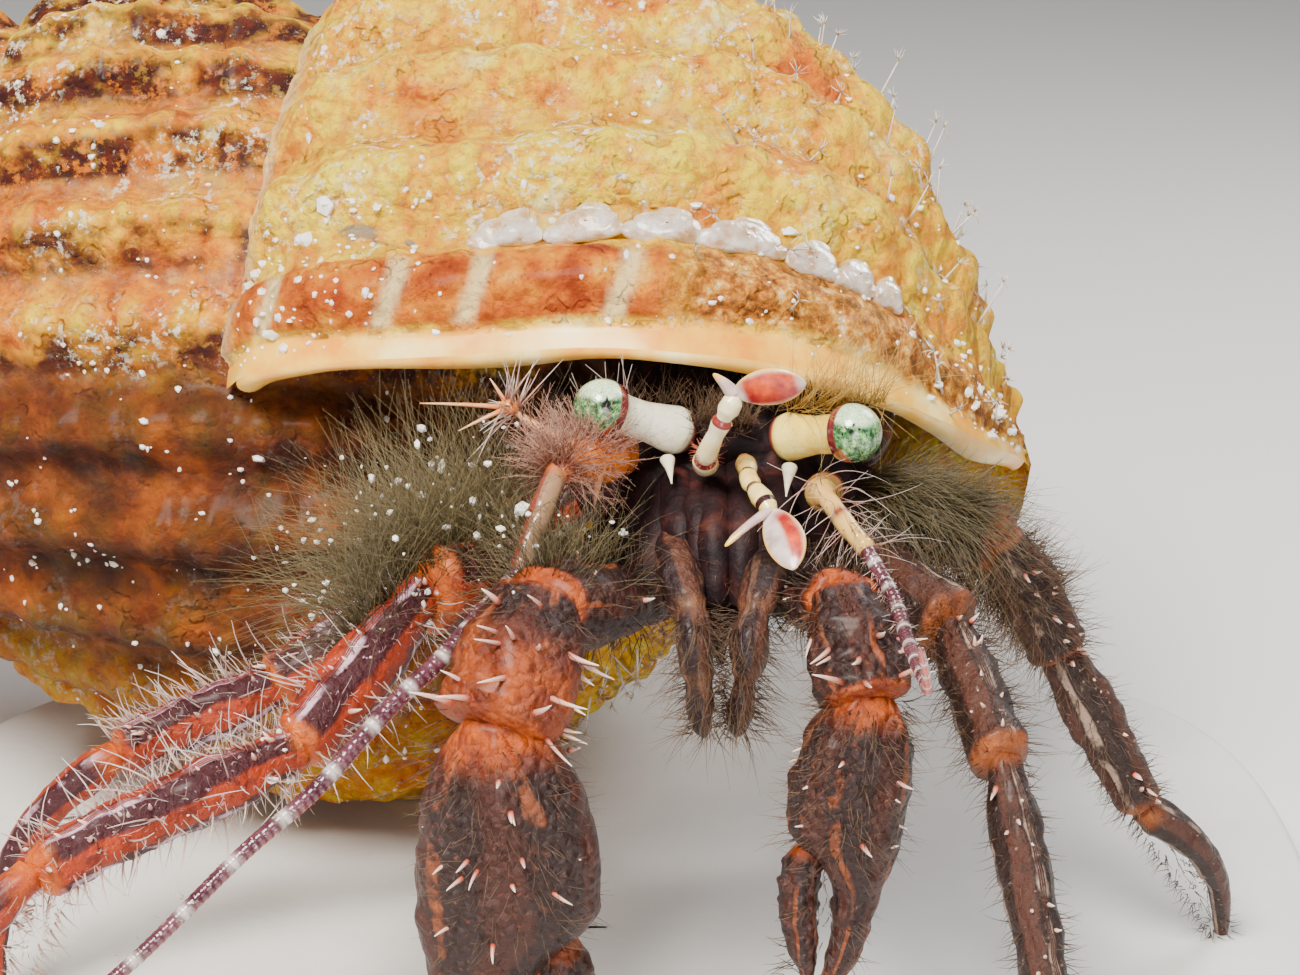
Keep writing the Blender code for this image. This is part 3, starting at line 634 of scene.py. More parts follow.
def sculpt(turn, share):
    """Ribbed surface, height of the finer ornament in millimetres, and its colour fields."""
    size = whorl_size(turn) / SHELL_SCALE
    plain = coil(turn, share)
    phase = -turn / (2 * COLUMN)
    back = -turn / COLUMN
    which = np.floor(phase)
    # ribs fade at the lip, at the suture and where the next whorl covers them
    ramp = smooth(-turn, 0, COLUMN) * smooth(share, 0.0, 0.06)
    ramp = ramp * np.where(turn < -LAP, 1 - smooth(share, SUTURE_SHARE - 0.04, SUTURE_SHARE + 0.04), 1.0)
    wave = -np.cos(TAU * phase)
    place = coil(turn, share, 1 + RIB_HEIGHT * wave * ramp)
    rib = 0.5 + 0.5 * wave
    cord_phase = share * CORDS + 0.12 * layered(plain, 4.0, 9, 2) + 0.3 * np.sin(which * 2.4)
    cord = 0.5 + 0.5 * np.cos(TAU * cord_phase)
    number = np.floor(cord_phase + 0.5)
    # lip, and the band of smooth blocks behind it
    wobble = 0.16 * layered(plain, 3.0, 5, 2)
    lip = 1 - smooth(back + wobble, 0.36, 0.52)
    block = smooth(back + wobble, 0.46, 0.60) * (1 - smooth(back + wobble, 1.46, 1.66))
    gap = np.minimum.reduce([np.abs(share - mark + 0.006 * np.sin(back * 4)) for mark in BLOCK_GAPS])
    ragged = smooth(share, BLOCK_END - 0.02, BLOCK_END + 0.03)
    smoothed = block * (1 - ragged)
    # knobs where cords cross ribs, over a rough crust
    knob = (rib ** 1.5) * (0.25 + 0.75 * cord ** 1.3) * (0.75 + 0.25 * np.sin(which * 5.1 + number * 2.3))
    height = 0.30 * knob * (1 - block) * smooth(share, 0.02, 0.07)
    height = height + 0.13 * layered(plain, 1.5, 21, 4) + 0.07 * layered(plain, 0.42, 31, 3)
    pillow = 0.17 * np.sqrt(smooth(gap, 0.0, 0.03)) + 0.03 * layered(plain, 0.9, 61, 3)
    height = height * (1 - 0.85 * smoothed) + smoothed * pillow
    height = height * size * (1 - lip) + lip * 0.07 * layered(plain, 2.6, 5, 2)
    fields = {
        "rib": rib, "cord": cord, "lip": lip, "block": smoothed, "ragged": block * ragged,
        "seam": smoothed * (1 - smooth(gap, 0.004, 0.014)) * (1 - lip),
        # groove and under mark where the paint puts painted shade: the hollows between ribs, and one side of
        # each rib on the older whorls
        "groove": (1 - rib) * (1 - 0.4 * cord) * (1 - smooth(share, 0.7, 0.95)),
        "under": smooth(np.sin(TAU * phase), -0.1, 0.7) * smooth(back, 30, 44),
        "row": hump(back, 3.0, 0.55) * (1 - smooth(share, 0.5, 0.62)),
        # shade: where the lip's painted shadow falls on the wall below it
        "shade": smooth(turn, -LAP - 0.10, -LAP + 0.05) * (1 - smooth(turn, -LAP + 0.5, -LAP + 1.7)),
        "suture": 1 - smooth(share, 0.0, 0.035),
        # spire: warmer colour of the older whorls with painted shade, less of it on their upward-facing top
        "spire": smooth(back, 26, 40) * (1 - 0.85 * hump(back, 58, 7)),
        "canal": smooth(share, 0.62, 0.85)}
    return place, height, fields


def outer_grid(heap, turns, shares):
    """Adds a sculpted patch of the outer surface."""
    place, height, fields = sculpt(*np.meshgrid(turns, shares, indexing="ij"))
    place = place + outward_normals(place) * height[..., None]
    place[..., 2] = np.maximum(place[..., 2], FLOOR)
    heap.add(place, grid_faces(len(turns), len(shares)), **fields)
    return place


def build_shell():
    outer = shell_paint()
    build_spire(outer)
    whorl = Heap()
    coarse, fine, columns = BODY_GRID
    turns = np.concatenate([np.linspace(-1.5 * TAU, -0.5 * TAU, coarse)[:-1],
                            np.linspace(-0.5 * TAU, 0.0, fine)])
    skin = outer_grid(whorl, turns, np.linspace(0.0, 1.0, columns))
    whorl.make("shell_body_whorl", outer, nodes=("shell",), slot="shell")
    build_inner_wall(skin[-1])
    build_canal(outer)


def build_canal(outer):
    """Ramp from the canal edge in to the axis."""
    ramp = Heap()
    rows, columns = CANAL_GRID
    edge = coil(np.linspace(-1.5 * TAU, 0.0, rows), 1.0)
    axis = on_axis(edge)
    steps = np.linspace(0, 1, columns)[None, :, None]
    strip = edge[:, None] * (1 - steps) + (axis + 0.10 * (edge - axis))[:, None] * steps
    strip = strip + 0.08 * layered(strip, 1.3, 12, 3)[..., None] * ALONG
    ramp.add(strip, grid_faces(rows, columns), rib=0.6, canal=1.0)
    ramp.make("shell_canal", outer, nodes=("shell",), slot="shell")


def build_spire(outer):
    """Older whorls up to the worn, blunt tip."""
    spire = Heap()
    first = -TURNS * TAU
    rows, columns = SPIRE_GRID
    outer_grid(spire, np.linspace(first, -TAU, rows), np.linspace(0.0, SUTURE_SHARE + 0.13, columns))
    rim = np.vstack([coil(first, np.linspace(SUTURE_SHARE, 0.0, 30)),
                     coil(np.linspace(first, first + LAP, 90), 0.0)])
    peak = APEX + ALONG * (WHORL[0][1] * 0.75 * whorl_size(first + LAP))
    worn = peak + (rim - peak) * np.linspace(1, 0, 12)[:, None, None]
    worn = worn + 0.10 * layered(worn, 1.2, 8, 3)[..., None] * ALONG
    spire.add(worn, grid_faces(12, len(rim)), rib=0.5, groove=0.3, spire=1.0)
    spire.make("shell_spire", outer, nodes=("shell",), slot="shell")


def build_inner_wall(rim):
    """The outer edge rolls over at the lip, then the wall runs back inside."""
    inside = Heap()
    rows, columns = WALL_GRID
    back = np.concatenate([[0.0], np.linspace(0.0, 1.0, rows)[1:] ** 1.3 * WALL_TURN])
    shares = np.linspace(0.035, 0.985, columns)
    grid_t, grid_s = np.meshgrid(-back, shares, indexing="ij")
    place = coil(grid_t, grid_s)
    normal = outward_normals(place)
    thick = WALL * whorl_size(grid_t) / SHELL_SCALE * (0.55 + 0.45 * smooth(-grid_t, 0.0, 0.25))
    thick = thick * (1.0 + 0.22 * np.sin(grid_s * 23.0 + 0.6) * (1 - smooth(-grid_t, 0.0, 0.3)))
    inner = place - normal * thick[..., None]
    inner = inner + normal * (0.05 * layered(inner, 2.0, 44, 3))[..., None]
    edge = curve_through(rim, shares)
    middle, half = (edge + inner[0]) / 2, (edge - inner[0]) / 2
    bulge = np.linalg.norm(half, axis=1, keepdims=True) * 0.75
    angles = [math.pi * k / ROLL_STEPS for k in range(ROLL_STEPS)]
    rolls = [middle + half * math.cos(angle) + GROWTH * bulge * math.sin(angle) for angle in angles]
    wall = np.concatenate([np.array(rolls), inner])
    depth = np.concatenate([np.zeros(ROLL_STEPS), back / back[-1]])
    lip = np.concatenate([np.ones(ROLL_STEPS), 1 - smooth(back * 10.5, 0.25, 0.9)])
    inside.add(wall, grid_faces(*wall.shape[:2]), depth=np.repeat(depth, len(shares)),
               lip=np.repeat(lip, len(shares)), side=np.tile(shares, len(wall)))
    inside.make("shell_inner_wall", mouth_paint(), nodes=("shell",), slot="shell")


def lump_grid(centre, axes, halves):
    """Points of a rounded lump with the given half sizes along three axes."""
    rows, columns = LUMP_GRID
    up = np.linspace(-math.pi / 2 + 0.02, math.pi / 2 - 0.02, rows)[:, None]
    turn = ring_turns(columns)[None, :]
    box = np.stack([np.cos(up) * np.cos(turn), np.cos(up) * np.sin(turn), np.sin(up) + 0 * turn], axis=-1)
    box = np.sign(box) * np.abs(box) ** 0.8 * np.asarray(halves)
    return centre + box @ np.asarray(axes)


def build_scales():
    """Row of clear scales behind the lip."""
    heap = Heap()
    turn = -1.86 * COLUMN
    for share, width in SCALES:
        spot = coil(turn, share)
        along_lip = unit(coil(turn, share + 0.02) - coil(turn, share - 0.02))
        forward = unit(coil(turn + 0.02, share) - coil(turn - 0.02, share))
        out = np.cross(along_lip, forward)
        out *= np.sign(out @ (spot - on_axis(spot)))
        for aside, ahead, size in SCALE_LUMPS:
            centre = spot + along_lip * aside * width + forward * ahead - out * 0.06
            lump = lump_grid(centre, (along_lip, forward, out), SCALE_SIZE * (width, 1, 1) * size)
            lump = lump + 0.10 * layered(lump, 0.55, 13, 3)[..., None] * out
            heap.add(lump, grid_faces(*LUMP_GRID, wrap=True))
    tints = ((0.36, (0.62, 0.40, 0.20)), (0.48, (0.80, 0.68, 0.56)), (0.62, (0.88, 0.83, 0.82)))
    paint = mottled("scale_paint", (0.40, 5.0), tints, rough=0.18, bump=(0.18, 4.0, 0.05),
                    coat=(0.5, 0.08), below=(0.4, 0.6, 0.5, 0.6), Transmission_Weight=0.55, IOR=1.36)
    heap.make("shell_scales", paint, slot="shell")


def on_shell(turns, shares, above=0.0):
    """Points on the sculpted shell and the ways straight out from its axis."""
    place, height, _ = sculpt(turns, shares)
    out = unit(place - on_axis(place))
    return place, out, place + out * (height + above)[:, None]


def build_growth():
    """White grit lying on the shell, and small hydroids growing on it."""
    turns = -np.concatenate([RNG.uniform(0.3, 46, 2300), RNG.uniform(0.2, 2.6, 500),
                             RNG.uniform(46, 100, 800)]) * COLUMN
    count = len(turns)
    shares = np.where(turns < -LAP, RNG.uniform(0.02, SUTURE_SHARE, count), RNG.uniform(0.02, 0.95, count))
    place, _, spots = on_shell(turns, shares)
    clumped = noise(place, 2.2, 77) > 0.15
    keep = (RNG.random(count) < 0.25 + 0.75 * clumped) & (place[:, 2] > FLOOR + 0.4)
    grains("shell_grit", spots[keep], 0.055, 0.45, "shell")

    turns = -RNG.uniform(0.2, 34, HYDROIDS) * COLUMN
    _, out, spots = on_shell(turns, RNG.uniform(0.45, 0.97, HYDROIDS), -0.05)
    lengths = RNG.uniform(0.35, 1.25, HYDROIDS)
    ways = out + RNG.normal(0, 0.3, (HYDROIDS, 3))
    clear = strand_paint("hydroid_paint", (0.66, 0.50, 0.34), (0.90, 0.86, 0.80), 0.3)
    tips = spots + unit(ways) * lengths[:, None]
    strands("shell_hydroids", clear, spots, ways, lengths, 0.050, curl=0.0, rows=4, slot="shell")
    pick = np.repeat(np.arange(HYDROIDS), HYDROID_ARMS)
    strands("shell_hydroid_crowns", clear, tips[pick], unit(ways)[pick] + RNG.normal(0, 0.8, (len(pick), 3)),
            RNG.uniform(0.14, 0.32, len(pick)), 0.018, curl=0.3, rows=3, slot="shell")


def icosahedron():
    """Corners and triangles of a regular 20-sided solid of about unit radius."""
    golden = (1 + math.sqrt(5)) / 2
    corners = np.array([(-1, golden, 0), (1, golden, 0), (-1, -golden, 0), (1, -golden, 0), (0, -1, golden),
                        (0, 1, golden), (0, -1, -golden), (0, 1, -golden), (golden, 0, -1), (golden, 0, 1),
                        (-golden, 0, -1), (-golden, 0, 1)]) / 1.9
    sides = np.array([(0, 11, 5), (0, 5, 1), (0, 1, 7), (0, 7, 10), (0, 10, 11), (1, 5, 9), (5, 11, 4),
                      (11, 10, 2), (10, 7, 6), (7, 1, 8), (3, 9, 4), (3, 4, 2), (3, 2, 6), (3, 6, 8),
                      (3, 8, 9), (4, 9, 5), (2, 4, 11), (6, 2, 10), (8, 6, 7), (9, 8, 1)])
    return corners, sides


def grains(name, centres, size, spread, slot):
    """Irregular crystals of white sand and debris."""
    count = len(centres)
    sizes = size * np.exp(RNG.normal(0, spread, count))
    corners, sides = icosahedron()
    stretch = RNG.uniform(0.55, 1.25, (count, 1, 3))
    shape = corners[None] * stretch * (1 + RNG.normal(0, 0.16, (count, len(corners), 1)))
    points = np.asarray(centres)[:, None] + shape * sizes[:, None, None]
    points[..., 2] = np.maximum(points[..., 2], FLOOR)
    tris = (sides[None] + (np.arange(count) * len(corners))[:, None, None]).reshape(-1, 3)
    piece(name, points.reshape(-1, 3), [tris], GRIT, flat=True, slot=slot)


def build_board():
    """Plain display board under the feet."""
    heap = Heap()
    turn = TAU * (np.arange(BOARD_SIDES) + 0.5) / BOARD_SIDES
    round_part = np.stack([np.cos(turn), np.sin(turn)], axis=1)
    corner = np.sign(round_part) * np.abs(round_part) ** 0.5
    rings = []
    for inset, drop in BOARD_RINGS:
        half = np.maximum(np.array(BASE_HALF) + inset, 0.05)
        height = np.full(BOARD_SIDES, FLOOR + drop)
        rings.append(np.column_stack([np.array(BASE_CENTRE) + corner * half, height]))
    heap.add(np.vstack(rings), grid_faces(len(rings), BOARD_SIDES, wrap=True)[:, ::-1])
    tints = ((0.35, (0.70, 0.685, 0.66)), (0.65, (0.76, 0.745, 0.72)))
    paint = mottled("board_paint", (3.0,), tints, rough=0.7, bump=(0.3, 3.0, 0.01))
    heap.make("stand_board", paint, nodes=("stand_base",), slot="stand")


# ---------------------------------------------------------------- limb building
def loft(heap, path, widths, flat=1.0, hint=(0, 0, 1), sides=28, rough=0.0, seed=0, **values):
    """Closed tube along a dense path with a half-width per point; flat squeezes one axis.

    An attribute is one number, one per row, or one per point with the two end points last.
    """
    path = np.asarray(path, float)
    widths = np.asarray(widths, float)
    way, side, rise = axes_along(path, np.asarray(hint, float))
    turn = ring_turns(sides)
    ring = np.cos(turn)[None, :, None] * side[:, None] + flat * np.sin(turn)[None, :, None] * rise[:, None]
    points = path[:, None] + ring * widths[:, None, None]
    if rough:
        lump = layered(points, 0.45, seed, 3) * rough
        points = points + unit(ring) * (lump * np.minimum(1, widths / 0.3)[:, None])[..., None]
    rows = len(path)
    around = np.tile(np.arange(sides) / sides, rows)
    columns = {"around": np.append(around, [around[0], around[-1]])}
    for key, value in values.items():
        if np.size(value) in (1, rows):
            value = np.repeat(np.broadcast_to(value, rows), sides)
            value = np.append(value, [value[0], value[-1]])
        columns[key] = value
    heap.tube(points, path[0] - way[0] * widths[0] * 0.5, path[-1] + way[-1] * widths[-1] * 0.5, **columns)


def article(heap, start, end, r_start, r_end, hint=(0, 0, 1), collar=1.07, belly=1.06, seed=0, rough=0.07,
            neck=0.66, glow=0.0):
    """One stiff length of a limb: narrow neck, widening to a slightly flared far rim."""
    start, end = np.asarray(start, float), np.asarray(end, float)
    way = unit(end - start)
    a = start - way * r_start * 0.35
    b = end + way * r_end * 0.15
    share = np.linspace(0, 1, 48)
    path = a + (b - a) * share[:, None]
    body = r_start + (r_end - r_start) * smooth(share, 0.1, 0.9)
    body = body * (1 + (belly - 1) * np.sin(math.pi * share))
    narrow = neck + (1 - neck) * smooth(share, 0.0, 0.42)
    flare = 1 + (collar - 1) * hump(share, 0.92, 0.04)
    closing, opening = (np.sqrt(np.clip(1 - (past / length).clip(0, 1) ** 2, 0.02, 1))
                        for past, length in ((share - 0.92, 0.082), (0.05 - share, 0.052)))
    joint = np.maximum(smooth(share, 0.90, 0.95), 1 - smooth(share, 0.02, 0.09))
    joint = np.maximum(joint, glow * smooth(share, 0.25, 0.7))
    widths = body * narrow * flare * closing * opening
    loft(heap, path, widths, 0.85, hint, rough=rough, seed=seed, joint=joint)


def cone_spines(heap, roots, ways, lengths, widths, bend=0.15):
    """Stout pointed spines, slightly hooked."""
    share = np.linspace(0, 1, 5)
    for root, way, length, width in zip(roots, unit(ways), lengths, widths):
        hook = unit(np.cross(way, [0.3, 0.9, 0.2])) * bend * length
        path = root + way * (length * share)[:, None] + hook * (share ** 2)[:, None]
        loft(heap, path, width * (1 - share) ** 0.8 + 0.008, hint=(0.31, 0.2, 0.9), sides=6, tipward=share)


def strands(name, material, roots, ways, lengths, radius, curl=0.25, droop=0.0, rows=5, uv=None, barbs=0,
            slot="leg"):
    """Fine bristles as tapered three-sided tubes, one OFBake patch each at the root's place."""
    ways = unit(ways)
    count = len(roots)
    radius = np.full(count, radius)
    side = unit(np.cross(ways, RNG.normal(size=(count, 3))))
    if uv is None:
        low, high = roots.min(0), roots.max(0)
        uv = (roots[:, :2] - low[:2]) / np.maximum(high[:2] - low[:2], 1e-6)

    def along(share, pick):
        bow = side[pick] * (curl * lengths[pick])[:, None] - UP * (droop * lengths[pick])[:, None]
        return roots[pick] + ways[pick] * (lengths[pick] * share)[:, None] + bow * (share ** 2)[:, None]

    everyone = np.arange(count)
    path = np.stack([along(np.full(count, share), everyone) for share in np.linspace(0, 1, rows)], axis=1)
    sets = [(path, radius, uv)]
    if barbs:
        pick = np.repeat(everyone, barbs)
        share = RNG.uniform(0.25, 0.97, len(pick))
        start = along(share, pick)
        way = unit(ways[pick] * 0.8 + RNG.normal(0, 0.6, (len(pick), 3)))
        reach = lengths[pick] * 0.22 * (1.15 - share)
        steps = np.linspace(0, 1, 3)[None, :, None]
        barb = start[:, None] + way[:, None] * reach[:, None, None] * steps
        sets.append((barb, radius[pick] * 0.55, uv[pick]))
    heap = Heap()
    for path, thick, place in sets:
        add_strands(heap, path, thick, place)
    heap.make(name, material, use_uv=True, slot=slot)


def add_strands(heap, path, thick, place):
    """Tapered tubes along paths (strands x rows x 3), each with its own small patch of the unwrap."""
    path[..., 2] = np.maximum(path[..., 2], FLOOR + 0.03)
    count, rows = path.shape[:2]
    ways = unit(path[:, -1] - path[:, 0])
    side = unit(np.cross(ways, np.array([0.31, 0.52, 0.79])))
    other = np.cross(ways, side)
    turn = ring_turns(3)
    ring = (np.cos(turn)[None, None, :, None] * side[:, None, None]
            + np.sin(turn)[None, None, :, None] * other[:, None, None])
    share = np.linspace(0, 1, rows)
    points = path[:, :, None] + ring * (1 - 0.85 * share[None, :, None, None]) * thick[:, None, None, None]
    each = rows * 3
    first = (np.arange(count) * each)[:, None, None]
    quads = (grid_faces(rows, 3, wrap=True)[None] + first).reshape(-1, 4)
    ends = np.array([[2, 1, 0], [each - 3, each - 2, each - 1]])
    patch = np.stack([np.repeat(np.linspace(0, PATCH, rows), 3), np.tile([0, PATCH / 2, PATCH], rows)],
                     axis=1)
    uvs = (0.002 + 0.99 * np.clip(place, 0, 1))[:, None] + patch[None]
    heap.add(points, quads, (ends[None] + first).reshape(-1, 3), uv=uvs.reshape(-1, 2),
             tipward=np.tile(np.repeat(share, 3), count), shade=np.repeat(RNG.random(count), each))


def around_limb(start, end, radius, count, low=0.0, toward=None, spread=2.0, lean=0.3):
    """Roots and outward ways on a limb, favouring a side; also their unwrap places."""
    start, end = np.asarray(start, float), np.asarray(end, float)
    way = unit(end - start)
    hint = UP if toward is None else np.asarray(toward, float)
    side = unit(hint - way * (hint @ way))
    rise = np.cross(way, side)
    share = RNG.uniform(low, 1.0, count)
    angle = RNG.uniform(-math.pi, math.pi, count) if toward is None else RNG.normal(0, spread, count)
    out = np.cos(angle)[:, None] * side + np.sin(angle)[:, None] * rise
    roots = start + (end - start) * share[:, None] + out * radius * 0.8
    ways = out + way * RNG.normal(lean, 0.25, count)[:, None] + RNG.normal(0, 0.18, (count, 3))
    return roots, ways, np.stack([share, (angle / TAU) % 1.0], axis=1)


# ---------------------------------------------------------------- skeleton, as in the solids
RIGHT_LEG = [(0.62, 0.8), (0.62, 0.62), (0.6, 0.5), (0.5, 0.25)]        # near and far radius of each length
LEFT_LEG = [(0.62, 0.75), (0.6, 0.6), (0.56, 0.48), (0.48, 0.25)]
# joints from hip to tip, radii, and the bow of the toe
LEGS = {
    ("leg1", "right"): ([(-2.5, 0.7, -3.3), (-5.9, -3.0, -2.5), (-8.2, -5.9, -4.5), (-12.7, -8.9, -5.6),
                         (-16.0, -10.9, FLOOR)], RIGHT_LEG, (-0.8, -0.5, 0.9)),
    ("leg2", "right"): ([(-2.9, 2.6, -2.6), (-6.6, 2.2, -4.6), (-9.4, 1.2, -6.3), (-12.6, 0.0, -7.3),
                         (-15.2, -1.4, FLOOR)], RIGHT_LEG, (-0.8, -0.2, 0.7)),
    ("leg1", "left"): ([(2.4, 0.6, -2.9), (4.4, -2.2, -3.6), (5.14, -5.4, -5.0), (5.95, -7.9, -9.0),
                        (6.6, -10.9, FLOOR)], LEFT_LEG, (0.1, -0.7, 0.3)),
    ("leg2", "left"): ([(2.9, 2.4, -2.6), (5.7, 0.7, -2.9), (7.0, 1.0, -5.4), (8.9, 1.0, -9.0),
                        (11.0, 2.2, FLOOR)], LEFT_LEG, (0.5, -0.2, 0.3)),
}
LEG_PARTS = ("upper", "knee", "shin", "toe")
LEG_SKIN = 1.06                  # thickness of the looks against that of the solids
# joints from hip to tip, radii of arm and wrist, half width and thickness of the palm, side of the finger
CLAWS = {
    "right": ([(-1.7, -1.0, -3.5), (-3.65, -4.5, -2.2), (-4.4, -6.1, -3.9), (-3.9, -6.3, FLOOR)],
              [(0.65, 0.9), (0.95, 1.05)], 1.75, 1.15, 1),
    "left": ([(1.45, -0.9, -3.5), (2.15, -3.7, -2.4), (2.55, -5.1, -3.8), (1.6, -5.5, -9.8)],
             [(0.55, 0.7), (0.75, 0.8)], 1.15, 0.8, -1),
}
CLAW_PARTS = ("arm", "wrist", "palm", "finger")
CLAW_GRID = (64, 44)             # rows and sides of each claw half
# sections of palm and finger: place along the claw, offset across it, half width, half thickness
PALM = [(-0.02, 0.0, 0.30, 0.35), (0.05, 0.0, 0.62, 0.7), (0.16, 0.0, 0.9, 0.95), (0.34, 0.0, 1.02, 1.04),
        (0.47, -0.05, 0.98, 0.95), (0.56, -0.30, 0.66, 0.78), (0.64, -0.45, 0.43, 0.6),
        (0.76, -0.47, 0.33, 0.46), (0.9, -0.38, 0.23, 0.32), (1.0, -0.22, 0.09, 0.15)]
FINGER = [(0.50, 0.42, 0.20, 0.35), (0.57, 0.50, 0.34, 0.5), (0.66, 0.52, 0.36, 0.5),
          (0.78, 0.42, 0.30, 0.4), (0.9, 0.26, 0.19, 0.26), (0.985, 0.08, 0.07, 0.12)]
# centre, half width, height above and below of each section of the body
TRUNK = [((0.0, 0.75, -1.15), 1.5, 0.5, 0.5), ((0.0, 1.25, -0.95), 2.0, 0.85, 1.1),
         ((0.0, 2.2, -0.6), 2.35, 1.2, 1.7), ((0.05, 3.5, 0.1), 2.6, 1.5, 1.8),
         ((0.2, 4.7, 0.95), 2.5, 1.5, 1.6), ((0.4, 5.5, 1.6), 1.7, 1.0, 1.1)]
INNER_MOUTH = ((0.28, 2.2, 3.9), (0.55, 1.8, 3.3), (0.95, 1.3, 2.7))    # distance aside, reach and drop
# angle in degrees, distance from the axis, depth and thickness of the abdomen in the shell
ABDOMEN = ((-20, 6.1, -35.7, 0.9), (-33, 6.0, -35.7, 1.35), (-46, 5.85, -35.6, 1.8), (-62, 5.6, -35.4, 2.1),
           (-88, 5.4, -35.3, 2.0), (-115, 5.4, -35.3, 1.7), (-140, 5.5, -35.3, 1.3), (-160, 5.6, -35.3, 0.6))
MOUTH_LIMBS = {"right": [(-1.05, -0.9, -2.3), (-0.95, -2.2, -2.5), (-0.7, -3.3, -3.2), (-0.62, -3.5, -4.2),
                         (-0.5, -3.3, -5.4)],
               "left": [(0.8, -0.9, -2.3), (0.7, -2.2, -2.5), (0.42, -3.3, -3.2), (0.3, -3.5, -4.2),
                        (0.14, -3.3, -5.4)]}
REAR_LEGS = ([(-2.5, 3.3, -1.3), (-2.9, 3.6, -1.0), (-3.5, 3.9, -0.6), (-3.7, 4.9, 0.6), (-3.5, 5.6, 1.6)],
             [(2.6, 2.7, -1.7), (2.95, 2.8, -1.55), (3.15, 2.95, -1.15), (3.2, 3.2, -0.75), (3.1, 3.5, -0.4)])
EYE_GRID = (60, 72)              # rings and sides of a cornea
# foot of the stalk, middle of the eye, way it looks, and size of its main dark spot
EYES = {"right": ((-0.86, 0.55, -0.45), (-2.5, -0.39, 0.39), (0.16, -0.90, 0.40), 0.15),
        "left": ((1.1, 0.5, -0.52), (2.48, -0.56, -0.07), (-0.10, -0.93, 0.34), 0.08)}
EYE_SPOTS = (((0.26, 0, 0.10), 0.05), ((-0.24, 0, 0.18), 0.05), ((0.05, 0, 0.32), 0.045),
             ((-0.08, 0, -0.30), 0.05), ((-0.34, 0, -0.06), 0.045))
EYE_SCALES = (((-1.2, -0.10, -0.80), (-1.12, -0.95, -1.0)), ((1.25, -0.15, -0.95), (1.15, -1.0, -1.25)))
STEMS = {"right": [(-0.42, -0.35, -0.85), (-0.46, -0.85, -0.55), (-0.42, -1.1, -0.3), (-0.12, -1.46, 0.52),
                   (0.12, -1.6, 1.05)],
         "left": [(0.34, -0.35, -0.72), (0.38, -0.9, -0.72), (0.42, -1.45, -0.78), (0.69, -2.15, -0.95),
                  (0.8, -2.4, -1.05)]}
# places along a limb and half widths there
STEM_WIDTHS = {"right": ([0, 0.1, 0.22, 0.28, 0.36, 0.6, 0.74, 0.78, 0.86, 0.95, 1.0],
                         [0.20, 0.27, 0.25, 0.17, 0.22, 0.17, 0.22, 0.15, 0.22, 0.2, 0.1]),
               "left": ([0, 0.12, 0.25, 0.34, 0.4, 0.55, 0.62, 0.68, 0.8, 0.92, 1.0],
                        [0.16, 0.22, 0.2, 0.14, 0.19, 0.2, 0.14, 0.19, 0.22, 0.2, 0.14])}
MOUTH_LIMB_WIDTHS = ([0, 0.12, 0.3, 0.42, 0.46, 0.60, 0.70, 0.735, 0.86, 0.965, 1.0],
                     [0.4, 0.5, 0.52, 0.46, 0.34, 0.46, 0.38, 0.27, 0.33, 0.24, 0.08])
REAR_LEG_WIDTHS = ([0, 0.3, 0.7, 1], [0.3, 0.42, 0.38, 0.16])
STALK_WIDTHS = ([-0.05, 0.0, 0.12, 0.25, 0.5, 0.72, 0.9, 0.97, 1.0],
                [0.30, 0.44, 0.50, 0.46, 0.385, 0.40, 0.47, 0.51, 0.50])
FEELER_ROOT_WIDTHS = ([0, 0.15, 0.4, 0.5, 0.56, 0.75, 0.93, 0.97, 1.0],
                      [0.42, 0.5, 0.44, 0.3, 0.24, 0.27, 0.24, 0.27, 0.2])
STEM_RINGS = {"right": (0.27, 0.75), "left": (0.36, 0.64, 0.9)}
PADDLE_GRID = (60, 32)           # rows and sides of a paddle, then of a long feeler
WHIP_GRID = (700, 14)
BEAD_LENGTH = 0.16
# paddle, its flat side, and the thin branch beside it
PADDLES = {"right": ([(0.08, -1.58, 1.08), (0.4, -1.78, 1.22), (0.95, -2.05, 1.42), (1.42, -2.28, 1.55)],
                     (0.1, -0.3, 1.0), [(0.08, -1.58, 1.08), (-0.1, -1.6, 1.3), (-0.32, -1.6, 1.5)]),
           "left": ([(0.76, -2.36, -1.02), (0.92, -2.75, -1.18), (1.08, -3.2, -1.42), (1.2, -3.72, -1.72)],
                    (1.0, 0.2, 0.5),
                    [(0.72, -2.4, -1.06), (0.45, -2.7, -1.14), (0.15, -2.95, -1.3), (-0.1, -3.1, -1.5)])}
FEELER_ROOTS = {"right": [(-2.1, 0.5, -0.9), (-2.5, -0.35, -0.7), (-3.05, -1.3, -0.42), (-3.4, -1.92, -0.52),
                          (-3.7, -2.6, -1.08), (-4.05, -3.46, -1.9)],
                "left": [(2.05, 0.4, -1.6), (1.9, -0.5, -1.38), (1.92, -1.45, -1.1), (2.3, -2.22, -1.42),
                         (2.66, -2.78, -1.72)]}
